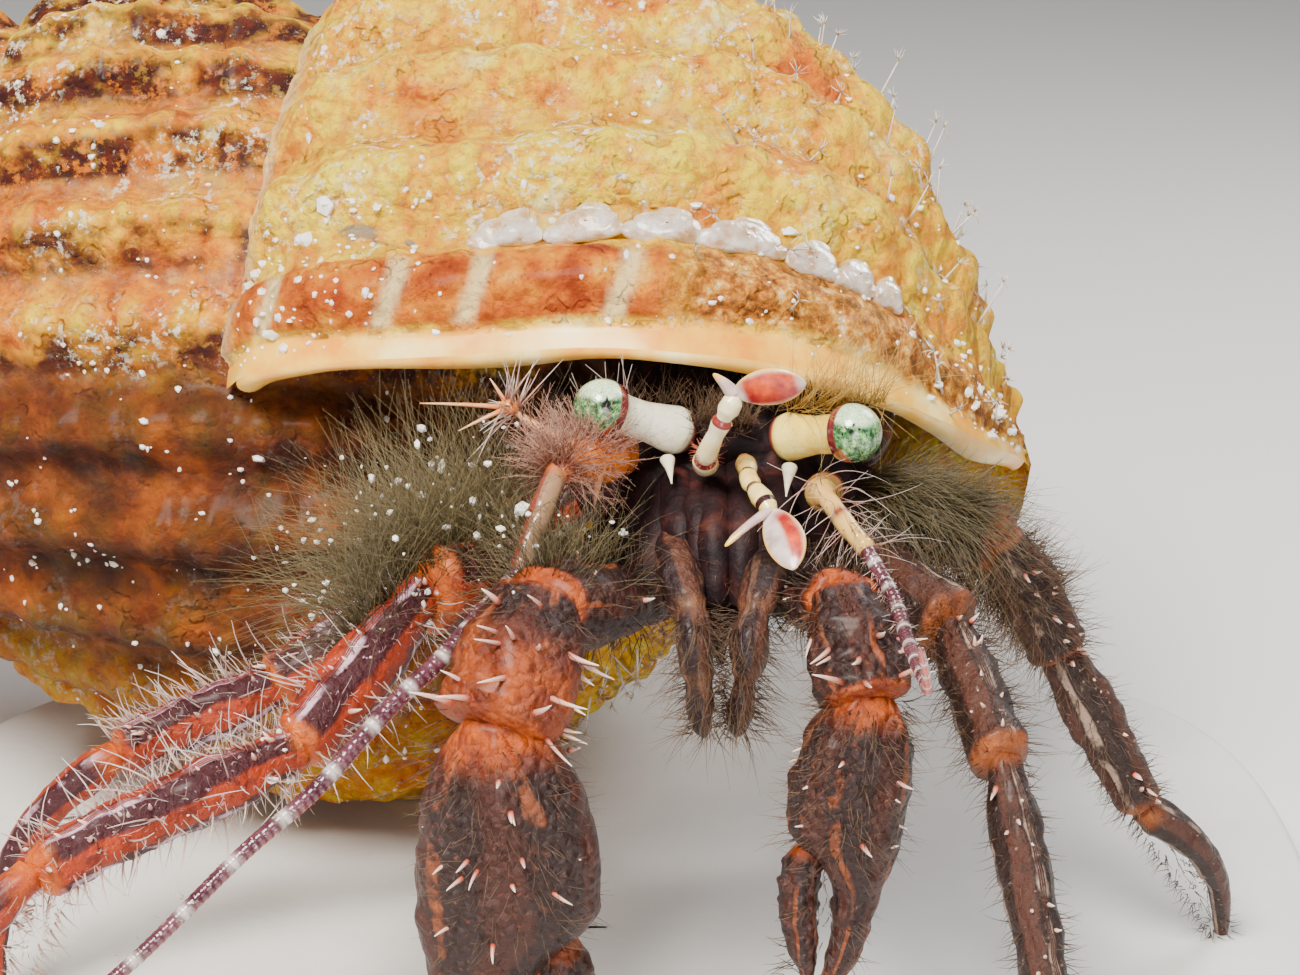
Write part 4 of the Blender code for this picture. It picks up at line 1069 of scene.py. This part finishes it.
WHIPS = {"right": [(-4.05, -3.46, -1.9), (-4.6, -4.04, -2.34), (-5.5, -5.14, -3.01), (-6.22, -5.84, -3.47),
                   (-6.87, -6.55, -3.96), (-7.69, -7.43, -4.63), (-8.87, -8.35, -5.39), (-11.0, -10.0, -7.0),
                   (-13.4, -11.7, -8.3), (-16.2, -13.0, -8.8)],
         "left": [(2.66, -2.78, -1.72), (3.1, -3.6, -2.3), (3.25, -5.0, -2.5), (3.3, -6.6, -2.35),
                  (3.3, -8.4, -1.95), (3.2, -10.2, -1.35), (3.05, -12.0, -0.6), (2.8, -14.2, 0.7),
                  (2.6, -15.6, 1.6)]}


def build_legs(paints):
    for (number, side), (points, radii, bow) in LEGS.items():
        heap = Heap()
        seed = len(number) + 7 * (side == "left") + 31 * (number == "leg2")
        for k in range(3):
            near, far = (radius * LEG_SKIN for radius in radii[k])
            article(heap, points[k], points[k + 1], near, far, seed=seed + k)
        start, tip = np.array(points[3]), np.array(points[4])
        share = np.linspace(0, 1, 40)
        path = start + (tip - start) * share[:, None] + np.array(bow) * np.sin(math.pi * share)[:, None]
        path[:, 2] = np.maximum(path[:, 2], FLOOR)
        first, last = radii[3]
        width = first * 1.04 + (last * 0.75 - first * 1.04) * share ** 1.1
        width = width * (0.7 + 0.3 * smooth(share, 0, 0.12))
        loft(heap, path, width, 0.85, (0, 1, 0), rough=0.04, seed=seed + 9,
             joint=1 - smooth(share, 0.02, 0.1) + smooth(share, 0.9, 1.0) * 0.3)
        heap.make(f"{number}_{side}_cuticle", paints[side],
                  nodes=[f"{number}_{part}_{side}" for part in LEG_PARTS], slot="leg")


def build_claws(paint):
    for side, (points, radii, width, thick, finger_side) in CLAWS.items():
        heap = Heap()
        for k in range(2):
            article(heap, points[k], points[k + 1], radii[k][0] * 1.05, radii[k][1] * 1.08, hint=(1, 0, 0),
                    seed=60 + k, belly=1.12, rough=0.10, collar=0.96, neck=0.80,
                    glow=0.75 if (side, k) == ("right", 1) else 0.0)
        start, tip = np.array(points[2]), np.array(points[3])
        way = unit(tip - start)
        hint = np.array([finger_side, 0.0, 0.0])
        across = unit(hint - way * (hint @ way))
        scale = np.array([np.linalg.norm(tip - start), width, width, thick])
        for table in (PALM, FINGER):
            claw_half(heap, np.array(table), start, (way, across, np.cross(way, across)), scale)
        heap.make(f"claw_{side}_cuticle", paint, slot="claw",
                  nodes=[f"claw_{part}_{side}" for part in CLAW_PARTS])


def claw_half(heap, table, start, axes, scale):
    """Palm with its fixed finger, or the movable finger, as a knobbed tube."""
    way, across, rise = axes
    rows, sides = CLAW_GRID
    share = np.linspace(0, 1, rows)
    mark = (table[:, 0] - table[0, 0]) / (table[-1, 0] - table[0, 0])
    fine = np.stack([np.interp(share, mark, column) for column in table.T], axis=1)
    kernel = np.array([1, 2, 3, 2, 1]) / 9.0
    for c in (1, 2, 3):
        fine[:, c] = np.convolve(np.pad(fine[:, c], 2, mode="edge"), kernel, mode="valid")
    along, aside, half, depth = (fine * scale).T
    turn = ring_turns(sides)
    centre = start + way * along[:, None] + across * aside[:, None]
    ring = (np.cos(turn)[None, :, None] * across * half[:, None, None]
            + np.sin(turn)[None, :, None] * rise * depth[:, None, None])
    points = centre[:, None] + ring
    knobs = np.maximum(0, np.sin(turn * 5)[None, :]) * np.maximum(0, np.sin(share * 46)[:, None])
    lump = 0.07 * layered(points, 0.55, 71, 3) + 0.07 * knobs * (fine[:, 2] > 0.3)[:, None]
    points = points + unit(ring) * lump[..., None]
    points[..., 2] = np.maximum(points[..., 2], FLOOR)
    joint = np.maximum(1 - smooth(share, 0.03, 0.12), smooth(share, 0.9, 1.0) * 0.5)
    heap.tube(points, centre[0], centre[-1], joint=np.append(np.repeat(joint, sides), [1, 1]),
              around=np.append(np.tile(np.arange(sides) / sides, rows), [0, 0]))


def build_trunk():
    """Shield, flanks and mouth field in one skin, with the limb roots."""
    heap = Heap()
    share = np.linspace(0, 1, 60)
    centre = curve_through([s[0] for s in TRUNK], share)
    sizes = curve_through([s[1:] for s in TRUNK], share)
    way, side, _ = axes_along(centre, np.array([1.0, 0.0, 0.0]))
    rise = np.cross(side, way)
    rise *= np.sign(rise[:, 2:3])
    turn = ring_turns(64)
    up = np.where(np.sin(turn)[None, :] > 0, sizes[:, 1:2], sizes[:, 2:3]) + 0.06
    fullness = np.abs(np.sin(turn)) ** 0.85 * np.sign(np.sin(turn))
    points = (centre[:, None] + side[:, None] * (np.cos(turn)[None, :] * sizes[:, :1])[..., None] * 1.02
              + rise[:, None] * (fullness[None, :] * up)[..., None] * 1.02)
    groove = hump(share, 0.62, 0.035)[:, None] * np.maximum(np.sin(turn), 0)[None, :]
    points = points - rise[:, None] * (0.16 * groove)[..., None]
    points = points + 0.05 * layered(points, 0.7, 15, 3)[..., None] * rise[:, None]
    heap.tube(points, centre[0], centre[-1])
    for joints, *_ in (*LEGS.values(), *CLAWS.values()):
        root = np.array(joints[0])
        inner = np.array([root[0] * 0.35, max(root[1], 0.6) * 0.7 + 0.8, root[2] * 0.45])
        middle = (inner + root) / 2 + np.array([0, -0.1, -0.1])
        path = curve_through([inner, middle, root], np.linspace(0, 1, 20))
        loft(heap, path, np.linspace(0.95, 0.66, 20), 0.9, rough=0.06, seed=5)
    # mouth field: paired inner mouth limbs filling the space behind the outer pair
    share = np.linspace(0, 1, 30)
    for sign in (-1, 1):
        for k, (aside, reach, drop) in enumerate(INNER_MOUTH):
            knots = [(sign * aside, 0.6, -1.6), (sign * aside, -reach * 0.7, -1.9),
                     (sign * aside * 0.9, -reach, -0.7 - drop * 0.6),
                     (sign * aside * 0.5, -reach * 0.8, -drop - 0.6)]
            width = np.interp(share, [0, 0.3, 0.8, 1], [0.5, 0.48, 0.3, 0.08])
            loft(heap, curve_through(knots, share), width, 0.85, rough=0.05, seed=80 + k)
    paint = plain_paint("trunk_cuticle_paint", (0.38, (0.006, 0.002, 0.003)), (0.56, (0.018, 0.005, 0.006)),
                        (0.78, (0.070, 0.018, 0.012)), size=0.6, rough=0.6, coat=0.0, sub=0.0)
    heap.make("trunk_cuticle", paint, nodes=("carapace", "thorax"), slot="body")


def build_abdomen():
    """Soft ringed abdomen, coiled into the shell."""
    heap = Heap()
    knots = [[*from_axis(radius, depth, math.radians(degrees)), thickness]
             for degrees, radius, depth, thickness in ABDOMEN]
    share = np.linspace(0, 1, 60)
    fine = curve_through(knots, share)
    rings = 1 + 0.05 * np.sin(share * TAU * 7)
    loft(heap, fine[:, :3], fine[:, 3] * rings, 1.0, (1, 0, 0), rough=0.06, seed=91)
    paint = plain_paint("abdomen_paint", (0.3, (0.45, 0.20, 0.16)), (0.7, (0.72, 0.46, 0.36)), size=1.2,
                        rough=0.4)
    heap.make("abdomen_skin", paint, nodes=("abdomen",), slot="abdomen")


def build_mouth_limbs():
    paint = limb_paint("mouth_limb_paint", (0.016, 0.005, 0.006), (0.085, 0.028, 0.016),
                       (0.16, 0.075, 0.045), 3, ((0.16, 0.05, 0.02), (0.34, 0.15, 0.06)))
    share = np.linspace(0, 1, 70)
    width = np.interp(share, *MOUTH_LIMB_WIDTHS)
    joint = hump(share, 0.45, 0.03) + hump(share, 0.72, 0.03)
    for side, knots in MOUTH_LIMBS.items():
        heap = Heap()
        loft(heap, curve_through(knots, share), width, 0.85, (0, 1, 0), rough=0.05, seed=33,
             joint=joint * 0.35)
        heap.make(f"maxilliped_{side}_cuticle", paint, nodes=(f"maxilliped_{side}",), slot="body")


def build_rear_legs(paint):
    heap = Heap()
    share = np.linspace(0, 1, 40)
    width = np.interp(share, *REAR_LEG_WIDTHS)
    for knots in REAR_LEGS:
        loft(heap, curve_through(knots, share), width, 0.9, rough=0.04, seed=23,
             joint=hump(share, 0.45, 0.05))
    heap.make("rear_legs_cuticle", paint, nodes=("rear_leg_right", "rear_leg_left"), slot="leg")


def build_eyes():
    glass = eye_paint()
    stalks = {"right": stalk_paint("stalk_right_paint", (0.80, 0.74, 0.52), (0.90, 0.86, 0.70)),
              "left": stalk_paint("stalk_left_paint", (0.84, 0.58, 0.07), (0.90, 0.74, 0.22))}
    for side, (foot, eye, look, spot_size) in EYES.items():
        foot, eye = np.array(foot), np.array(eye)
        way = unit(eye - foot)
        reach = np.linalg.norm(eye - foot)
        marks = np.array(STALK_WIDTHS[0]) * reach
        share = np.linspace(marks[0], marks[-1], 70)
        heap = Heap()
        loft(heap, foot + way * share[:, None], np.interp(share, marks, STALK_WIDTHS[1]), 0.95, sides=48,
             rough=0.012, seed=3, line=hump(share, reach - 0.21, 0.025), foot=1 - smooth(share, 0.06, 0.16),
             band=smooth(share, reach - 0.17, reach - 0.13) * (1 - smooth(share, reach - 0.06, reach - 0.03)))
        heap.make(f"eyestalk_{side}_skin", stalks[side], nodes=(f"eyestalk_{side}",), slot="eyestalk")
        build_cornea(side, glass, eye, way, unit(look), spot_size)
    heap = Heap()
    share = np.linspace(0, 1, 24)
    for root, tip in EYE_SCALES:
        path = curve_through([root, (np.array(root) + tip) / 2 + [0, 0, 0.05], tip], share)
        loft(heap, path, 0.15 * (1 - share) ** 1.1 + 0.012, 0.8, (1, 0, 0), sides=20, rough=0.01)
    heap.make("eye_scales_skin", stalks["right"], nodes=("eye_scale_right", "eye_scale_left"),
              slot="eyestalk")


def build_cornea(side, glass, eye, way, look, spot_size):
    """Dome over the end of the stalk, with its dark spots towards the way it looks."""
    _, side_axis, rise = axes_along(np.array([eye, eye + way, eye + 2 * way]), UP)
    turn = ring_turns(EYE_GRID[1])
    radial = np.cos(turn)[:, None] * side_axis[0] + np.sin(turn)[:, None] * rise[0]
    rings = [eye - way * 0.03 + way * 0.60 * math.sin(a) + radial * 0.595 * math.cos(a) ** 0.92
             for a in np.linspace(-0.35, math.pi / 2, EYE_GRID[0])[:-1]]
    rings.append(eye + way * 0.55 + radial * 1e-4)
    flat = np.array(rings).reshape(-1, 3)
    out = unit(flat - eye)
    pupil = np.zeros(len(flat))
    for spot, size in ((look, spot_size), *((unit(look + shift), size) for shift, size in EYE_SPOTS)):
        pupil = np.maximum(pupil, 1 - smooth(np.linalg.norm(out - spot, axis=1), size, size * 1.5))
    height = (flat - eye) @ way
    red = (1 - smooth(height, 0.02, 0.10)) * smooth(-out[:, 2], 0.15, 0.6) * smooth(height, -0.1, 0.0)
    dome = Heap()
    dome.add(flat, grid_faces(*EYE_GRID, wrap=True), drop=-out[:, 2], pupil=pupil, red=red,
             band=1 - smooth(height, -0.06, -0.02))
    dome.make(f"cornea_{side}_dome", glass, nodes=(f"cornea_{side}",), slot="cornea")


# ---------------------------------------------------------------- feelers
def build_short_feelers():
    """Jointed stems with dark rings, each ending in a paddle and a thin branch."""
    stems = {"right": banded_paint("short_feeler_paint", (0.78, 0.62, 0.28), (0.90, 0.80, 0.55),
                                   (0.22, 0.02, 0.02), (0.75, 0.28, 0.05)),
             "left": banded_paint("left_short_feeler_paint", (0.80, 0.52, 0.10), (0.92, 0.74, 0.34),
                                  (0.030, 0.008, 0.008), (0.85, 0.24, 0.01))}
    share = np.linspace(0, 1, 90)
    for side, knots in STEMS.items():
        heap = Heap()
        loft(heap, curve_through(knots, share), np.interp(share, *STEM_WIDTHS[side]), 0.95, (1, 0, 0),
             rough=0.012, tone=sum(hump(share, ring, 0.035) for ring in STEM_RINGS[side]),
             accent=hump(share, 0.05, 0.1) * (0.9 if side == "left" else 0.2))
        heap.make(f"antennule_{side}_stem", stems[side], nodes=(f"antennule_{side}",), slot="antennule")
    paint = paddle_paint()
    rows, sides = PADDLE_GRID
    share = np.linspace(0, 1, rows)
    along = np.repeat(share, sides)
    across = np.cos(np.tile(np.arange(sides) / sides, rows) * TAU)
    rim = smooth(np.abs(across), 0.80 + 0.1 * (0.5 + 0.5 * np.sin(along * 90)), 0.97) * 0.9
    for side, (knots, hint, branch) in PADDLES.items():
        heap = Heap()
        width = 0.03 + 0.37 * np.sin(math.pi * np.clip(share, 0.02, 0.99) ** 1.1) ** 0.6
        place, reach = (0.0, 0.75) if side == "right" else (0.45, 0.30)
        core = 1 - smooth(np.abs(across - place), reach, reach + 0.2)
        core = core * smooth(along, 0.10, 0.25) * (1 - smooth(along, 0.86, 0.97))
        loft(heap, curve_through(knots, share), width, 0.30, hint, sides=sides,
             tone=np.append(core, [0, 0]), accent=np.append(rim, [0, 0]))
        thin = np.linspace(0, 1, 30)
        loft(heap, curve_through(branch, thin), 0.15 * (1 - thin) ** 0.6 + 0.02, 0.6, hint, sides=16,
             tone=0.15, accent=smooth(thin, 0.5, 1.0))
        heap.make(f"antennule_{side}_paddle", paint, nodes=(f"antennule_fan_{side}",), slot="antennule")


def build_long_feelers():
    """Stout stem, then a beaded whip with pale rings that lie closer near its root."""
    paint = long_feeler_paint()
    for side, stem_orange, stem_gold, stem_width, whip_width in (("right", 1.0, 0.0, 1.0, 0.185),
                                                                 ("left", 0.45, 0.8, 0.82, 0.15)):
        heap = Heap()
        share = np.linspace(0, 1, 110)
        width = np.interp(share, *FEELER_ROOT_WIDTHS)
        loft(heap, curve_through(FEELER_ROOTS[side], share), width * stem_width, 0.95, rough=0.03, seed=17,
             orange=(1 - smooth(share, 0.42, 0.56)) * stem_orange + hump(share, 0.55, 0.025) * 0.5,
             gold=stem_gold * smooth(share, 0.1, 0.3) * (1 - hump(share, 0.72, 0.03)),
             accent=smooth(share, 0.5, 0.6), tone=hump(share, 0.96, 0.02) * 0.7)
        rows, sides = WHIP_GRID
        share = np.linspace(0, 1, rows)
        path = curve_through(WHIPS[side], share)
        steps = np.linalg.norm(np.diff(path, axis=0), axis=1)
        arc = np.concatenate([[0], np.cumsum(steps)])
        bands = np.cumsum(np.concatenate([[0], np.diff(arc)]) / (0.62 + 0.62 * smooth(arc, 0, 6)))
        tone = 0.85 * hump(bands % 1.0, 0.5, 0.095)
        beads = 0.5 + 0.5 * np.sin(arc * TAU / BEAD_LENGTH)
        turn = np.tile(ring_turns(sides), rows)
        under = smooth(-np.cos(turn), 0.1, 0.7) * (1 - 0.6 * np.repeat(tone, sides))
        loft(heap, path, whip_width - 0.10 * share ** 1.2 + 0.008 * beads, sides=sides, tone=tone,
             beads=beads, under=np.append(under, [0, 0]))
        heap.make(f"antenna_{side}_whip", paint, slot="antenna",
                  nodes=[f"antenna_base_{side}"] + [f"antenna_{k}_{side}" for k in (1, 2, 3, 4)])


# ---------------------------------------------------------------- bristles, spines and debris
FEELER_KNOT = (-3.05, -1.3, -0.42)
SCALE_KNOT = np.array((-4.33, -0.85, 0.56))
SCALE_TIP = (-4.45, -0.82, 0.66)
# the two long spines of the feeler's scale and the short ones round them: root, way, length, width
SCALE_SPINES = (((-3.0, -1.05, -0.35), (-1.45, 0.2, 1.05), 1.85, 0.17),
                (SCALE_KNOT, (-1.0, -0.1, 0.12), 1.75, 0.05),
                (SCALE_KNOT, (-0.75, -0.25, -0.25), 1.1, 0.055),
                (SCALE_KNOT, (-0.5, 0.0, 0.9), 0.7, 0.05),
                ((-2.52, -1.05, -0.55), (-0.2, -0.15, -1.0), 0.9, 0.14))
RIGHT_WHIP_MARKS = [WHIPS["right"][k] for k in (0, 3, 6, 8)]
DEBRIS = 150


def limb_lengths(number, side):
    """Start, end and mean radius of each length of a leg."""
    points, radii, _ = LEGS[(number, side)]
    return [(np.array(points[k]), np.array(points[k + 1]), sum(radii[k]) / 2) for k in range(4)]


def hair(start, end, radius, count, shortest, longest, **rest):
    roots, ways, uv = around_limb(start, end, radius, count, **rest)
    return roots, ways, uv, RNG.uniform(shortest, longest, count)


def coat(name, paint, thick, groups, slot="leg", **rest):
    """One piece from several hair groups, with a strip of the unwrap for each group."""
    roots, ways, uv, lengths = (np.concatenate([group[k] for group in groups]) for k in range(4))
    strip = np.repeat(np.arange(len(groups)), [len(group[0]) for group in groups])
    uv[:, 0] = (strip + uv[:, 0]) / len(groups)
    strands(name, paint, roots, ways, lengths, thick, uv=uv, slot=slot, **rest)
    return roots, ways, lengths


def build_coats():
    olive = strand_paint("olive_hair_paint", (0.034, 0.024, 0.008), (0.22, 0.165, 0.070))
    pale = strand_paint("pale_hair_paint", (0.50, 0.22, 0.16), (0.86, 0.80, 0.76), 0.3)
    brown = strand_paint("brown_hair_paint", (0.040, 0.018, 0.010), (0.20, 0.11, 0.055))
    feeler_coats(pale)
    thicket_coats(olive)
    right_leg_coats(pale)
    left_leg_coats(brown, olive)
    claw_coats(brown)
    build_feeler_scale()
    head_coats(brown, pale)
    small_coats(pale)


def feeler_coats(pale):
    """Feathery ball at the foot of the right long feeler, its bristly scale, the left one's bristles."""
    plume = strand_paint("plume_paint", (0.30, 0.085, 0.050), (0.62, 0.36, 0.27))
    aside = (-0.5, -0.4, 0.7)
    coat("feeler_ball_coat", plume, 0.014, [
        hair((-2.45, -0.3, -0.7), FEELER_KNOT, 0.44, 300, 0.6, 1.25, toward=aside, spread=1.2, lean=0.1),
        hair(FEELER_KNOT, (-3.4, -1.92, -0.52), 0.34, 240, 0.5, 1.2, toward=aside, spread=1.3, lean=0.2)],
        curl=0.18, barbs=7, slot="antenna")
    coat("scale_tuft_coat", plume, 0.012, [
        hair((-3.5, -1.0, 0.0), SCALE_TIP, 0.10, 70, 0.3, 0.9, toward=(-0.7, -0.2, 0.7), spread=1.6,
             lean=0.4)],
        curl=0.15, barbs=3, slot="antenna")
    coat("scale_bristle_coat", pale, 0.024, [
        hair((-4.15, -0.87, 0.50), SCALE_TIP, 0.14, 34, 0.45, 1.35, lean=0.2)],
        curl=0.06, slot="antenna")
    coat("long_bristle_coat", pale, 0.016, [
        hair((1.7, -0.9, -0.9), (2.5, -1.9, -1.3), 0.2, 16, 1.1, 1.9, toward=(0.3, -0.8, 0.2), spread=1.5)],
        curl=0.55, droop=0.4, rows=9, slot="antenna")
    knee = (2.3, -2.22, -1.42)
    coat("left_feeler_coat", pale, 0.012, [
        hair((1.9, -1.0, -1.2), knee, 0.30, 26, 0.4, 1.3, toward=(0.6, -0.2, 0.4), spread=1.4),
        hair(knee, (2.7, -2.85, -1.78), 0.22, 24, 0.5, 1.5, toward=(0.6, -0.2, 0.2), spread=1.6)],
        curl=0.35, droop=0.15, slot="antenna")


def thicket_coats(olive):
    """Olive thicket over the first right leg and the claw arm, with debris in it."""
    roots, ways, lengths = coat("thicket_coat", olive, 0.011, [
        hair((-5.6, -2.7, -2.5), (-6.9, -4.3, -3.4), 0.60, 520, 1.2, 3.3,
             toward=(-0.9, 0.3, 0.8), spread=0.6, lean=-0.1),
        hair((-3.3, -0.4, -3.0), (-5.9, -3.0, -2.5), 0.62, 1300, 1.3, 3.7,
             toward=(-0.95, 0.1, 0.9), spread=0.7, lean=0.45),
        hair((-2.3, -2.0, -2.9), (-3.65, -4.5, -2.2), 0.80, 500, 0.7, 1.9,
             toward=(-0.8, 0.0, 0.8), spread=0.8, lean=0.1),
        hair((-4.0, 2.4, -3.2), (-6.6, 2.2, -4.6), 0.60, 700, 0.9, 2.4,
             toward=(-0.4, -0.2, 0.9), spread=0.9)],
        curl=0.55, droop=0.05, rows=6, barbs=1)
    picked = RNG.choice(len(roots), DEBRIS, replace=False)
    spots = roots[picked] + unit(ways[picked]) * (lengths[picked] * 0.8)[:, None]
    grains("thicket_debris", spots, 0.055, 0.5, "leg")


def right_leg_coats(pale):
    """Pale blunt bristles and finer hairs from knee to toe."""
    bristles, fine = [], []
    for number in ("leg1", "leg2"):
        reaches = ((0.45, 1.3), (0.45, 1.3), (0.3, 0.8))
        stretches = limb_lengths(number, "right")[1:]
        for (start, end, radius), count, reach in zip(stretches, (60, 120, 80), reaches):
            bristles.append(hair(start, end, radius, count, *reach, lean=0.35))
            fine.append(hair(start, end, radius, count * 3, 0.2, 0.7, lean=0.4))
    coat("right_bristle_coat", pale, 0.030, bristles, curl=0.30)
    coat("right_fine_coat", pale, 0.011, fine, curl=0.3)


def left_leg_coats(brown, olive):
    """Dark fur, densest on the second knee, and an olive fan beside the left eye."""
    fur = []
    for number, dense in (("leg1", 1.0), ("leg2", 1.6)):
        stretches = limb_lengths(number, "left")
        for segment, count, longest in zip(stretches, (500, 420, 300, 160), (1.1, 0.9, 0.6, 0.4)):
            fur.append(hair(*segment, int(count * dense), 0.25, longest, lean=0.4))
    fur.append(hair((4.2, 1.6, -2.7), (6.6, 0.9, -4.4), 0.62, 1300, 0.5, 1.3, lean=0.4))
    coat("left_leg_coat", brown, 0.013, fur, curl=0.35)
    coat("left_fan_coat", olive, 0.013, [
        hair((2.9, 1.2, -2.2), (4.9, 0.6, -2.7), 0.60, 520, 1.0, 2.5,
             toward=(0.6, -0.4, 1.0), spread=0.7, lean=0.9),
        hair((2.6, 0.4, -1.7), (3.4, 0.2, -1.9), 0.40, 260, 1.0, 2.4,
             toward=(0.8, -0.5, 0.6), spread=0.8, lean=0.9)],
        curl=0.35, droop=0.45, rows=7)


def claw_coats(brown):
    """Bristles of the claws, between stout pale-tipped spines; the legs have small spines too."""
    fur, spines = [], []
    for points, radii, width, thick, _ in CLAWS.values():
        arm, wrist, palm, tip = (np.array(point) for point in points)
        middle = palm + (tip - palm) * 0.5
        # start, end, radius, hairs, spines, longest spine, stoutness of the spines
        for start, end, radius, hairs, count, longest, stout in (
                (arm, wrist, radii[0][1], 260, 6, 0.35, 1.0), (wrist, palm, radii[1][1], 260, 20, 1.0, 1.2),
                (palm, middle, (width + thick) / 2, 620, 24, 0.46, 1.0)):
            fur.append(hair(start, end, radius, hairs, 0.25, 0.9))
            roots, ways, _ = around_limb(start, end, radius, count, low=0.1, lean=0.25)
            spines.append((roots + unit(ways) * radius * 0.12, ways, RNG.uniform(0.4, 1.0, count) * longest,
                           RNG.uniform(0.035, 0.06, count) * stout))
        fur.append(hair(middle, tip, width * 0.7, 160, 0.2, 0.6, lean=0.4))
    coat("claw_coat", brown, 0.013, fur, curl=0.3, slot="claw")
    for number in ("leg1", "leg2"):
        for side in ("right", "left"):
            for segment in limb_lengths(number, side)[1:3]:
                roots, ways, _ = around_limb(*segment, 12, toward=(0, -0.5, 1), spread=0.4)
                spines.append((roots, ways, RNG.uniform(0.15, 0.35, 12), np.full(12, 0.06)))
    heap = Heap()
    cone_spines(heap, *(np.concatenate(column) for column in zip(*spines)))
    paint = strand_paint("spine_paint", (0.46, 0.045, 0.010), (0.90, 0.74, 0.62), 0.3)
    heap.make("limb_spines", paint, slot="claw")


def build_feeler_scale():
    """Spiny scale of the right long feeler."""
    heap = Heap()
    cone_spines(heap, *(np.array(column) for column in zip(*SCALE_SPINES)), bend=0.04)
    lump = lump_grid(SCALE_KNOT, np.eye(3), (0.20, 0.16, 0.16))
    heap.add(lump, grid_faces(*LUMP_GRID, wrap=True), tipward=0.1)
    paint = strand_paint("feeler_scale_paint", (0.70, 0.20, 0.03), (0.88, 0.50, 0.28), 0.3)
    heap.make("feeler_scale", paint, slot="antenna")


def head_coats(brown, pale):
    """Dark tuft between the eyes, clear straight hairs, fringe above the left stalk, hairy mouth field."""
    coat("head_tuft_coat", brown, 0.013, [
        hair((-0.7, 0.35, -0.35), (0.5, 0.35, -0.35), 0.15, 190, 0.4, 0.95,
             toward=(0, -0.4, 1), spread=0.6, lean=0.0),
        hair((-2.2, 0.9, -0.2), (2.2, 0.9, -0.2), 0.2, 260, 0.4, 1.0,
             toward=(0, -0.3, 1), spread=0.6, lean=0.0)],
        curl=0.3, barbs=2, slot="body")
    coat("clear_hair_coat", pale, 0.018, [
        hair((-2.9, 0.1, 0.15), (-1.9, 0.2, 0.3), 0.1, 9, 0.8, 1.15,
             toward=(0, -0.1, 1), spread=0.15, lean=0.0)],
        curl=0.05, slot="body")
    amber = strand_paint("amber_hair_paint", (0.45, 0.22, 0.03), (0.62, 0.44, 0.14))
    coat("fringe_coat", amber, 0.009, [
        hair((1.2, 0.5, 0.0), (3.2, 0.3, 0.2), 0.15, 230, 0.5, 2.3,
             toward=(0.2, -0.5, 0.9), spread=0.6, lean=0.35)],
        curl=0.5, slot="body")
    outer = [hair((x, -3.3, -2.8), (x * 0.6, -3.4, -5.3), 0.40, 420, 0.3, 1.0,
                  toward=(0, -0.6, -0.3), spread=1.8)
             for x in (-0.66, 0.30)]
    inner = [hair((x, -1.2, -1.9), (x * 0.8, -2.1, -3.8), 0.35, 150, 0.3, 0.9,
                  toward=(0, -1.0, 0.1), spread=1.2)
             for x in (-0.9, -0.3, 0.3, 0.9)]
    coat("mouth_coat", brown, 0.011, outer + inner, curl=0.35, droop=0.2, slot="body")


def small_coats(pale):
    """Short hairs along the long feelers, the bristly ring of the right short feeler, debris on a leg."""
    stretches = [*zip(RIGHT_WHIP_MARKS[:-1], RIGHT_WHIP_MARKS[1:]), (WHIPS["left"][0], WHIPS["left"][2])]
    coat("whip_coat", pale, 0.009, [hair(*stretch, 0.13, 60, 0.12, 0.35) for stretch in stretches],
         curl=0.1, rows=3, slot="antenna")
    red = strand_paint("red_hair_paint", (0.40, 0.03, 0.02), (0.70, 0.20, 0.08))
    coat("short_feeler_coat", red, 0.010, [
        hair((-0.44, -0.95, -0.42), (-0.40, -1.12, -0.26), 0.18, 70, 0.12, 0.3)],
        rows=3, slot="antennule")
    spots = [around_limb(start, end, 0.6, 22)[0] for start, end, _ in limb_lengths("leg1", "right")[1:]]
    grains("leg_debris", np.concatenate(spots), 0.05, 0.45, "leg")


make_camera()
make_lamps()
make_studio()
GRIT = mottled("grit_paint", (0.6, 2.0), ((0.35, (0.70, 0.62, 0.50)), (0.5, (0.88, 0.85, 0.80))), rough=0.35,
               below=(0.3, 0.3, 0.3, 0.3))
build_board()
build_shell()
build_scales()
build_growth()
WARM_LEGS = limb_paint("right_leg_paint", (0.042, 0.003, 0.006), (0.34, 0.030, 0.002), (0.70, 0.44, 0.54), 3)
# left and rear legs: a darker copy of the right legs' striped paint, as painted shade
SHADED_LEGS = limb_paint("left_leg_shaded_paint", (0.020, 0.006, 0.004), (0.066, 0.019, 0.010), (0.40, 0.27, 0.20), 3,
                       ((0.10, 0.020, 0.004), (0.30, 0.07, 0.008)))
build_legs({"right": WARM_LEGS, "left": SHADED_LEGS})
build_claws(limb_paint("claw_paint", (0.022, 0.006, 0.005), (0.052, 0.012, 0.007), (0.26, 0.06, 0.016), 5,
                       ((0.17, 0.018, 0.002), (0.46, 0.08, 0.003)), grain=1.1))
build_rear_legs(SHADED_LEGS)
build_trunk()
build_abdomen()
build_mouth_limbs()
build_eyes()
build_short_feelers()
build_long_feelers()
build_coats()
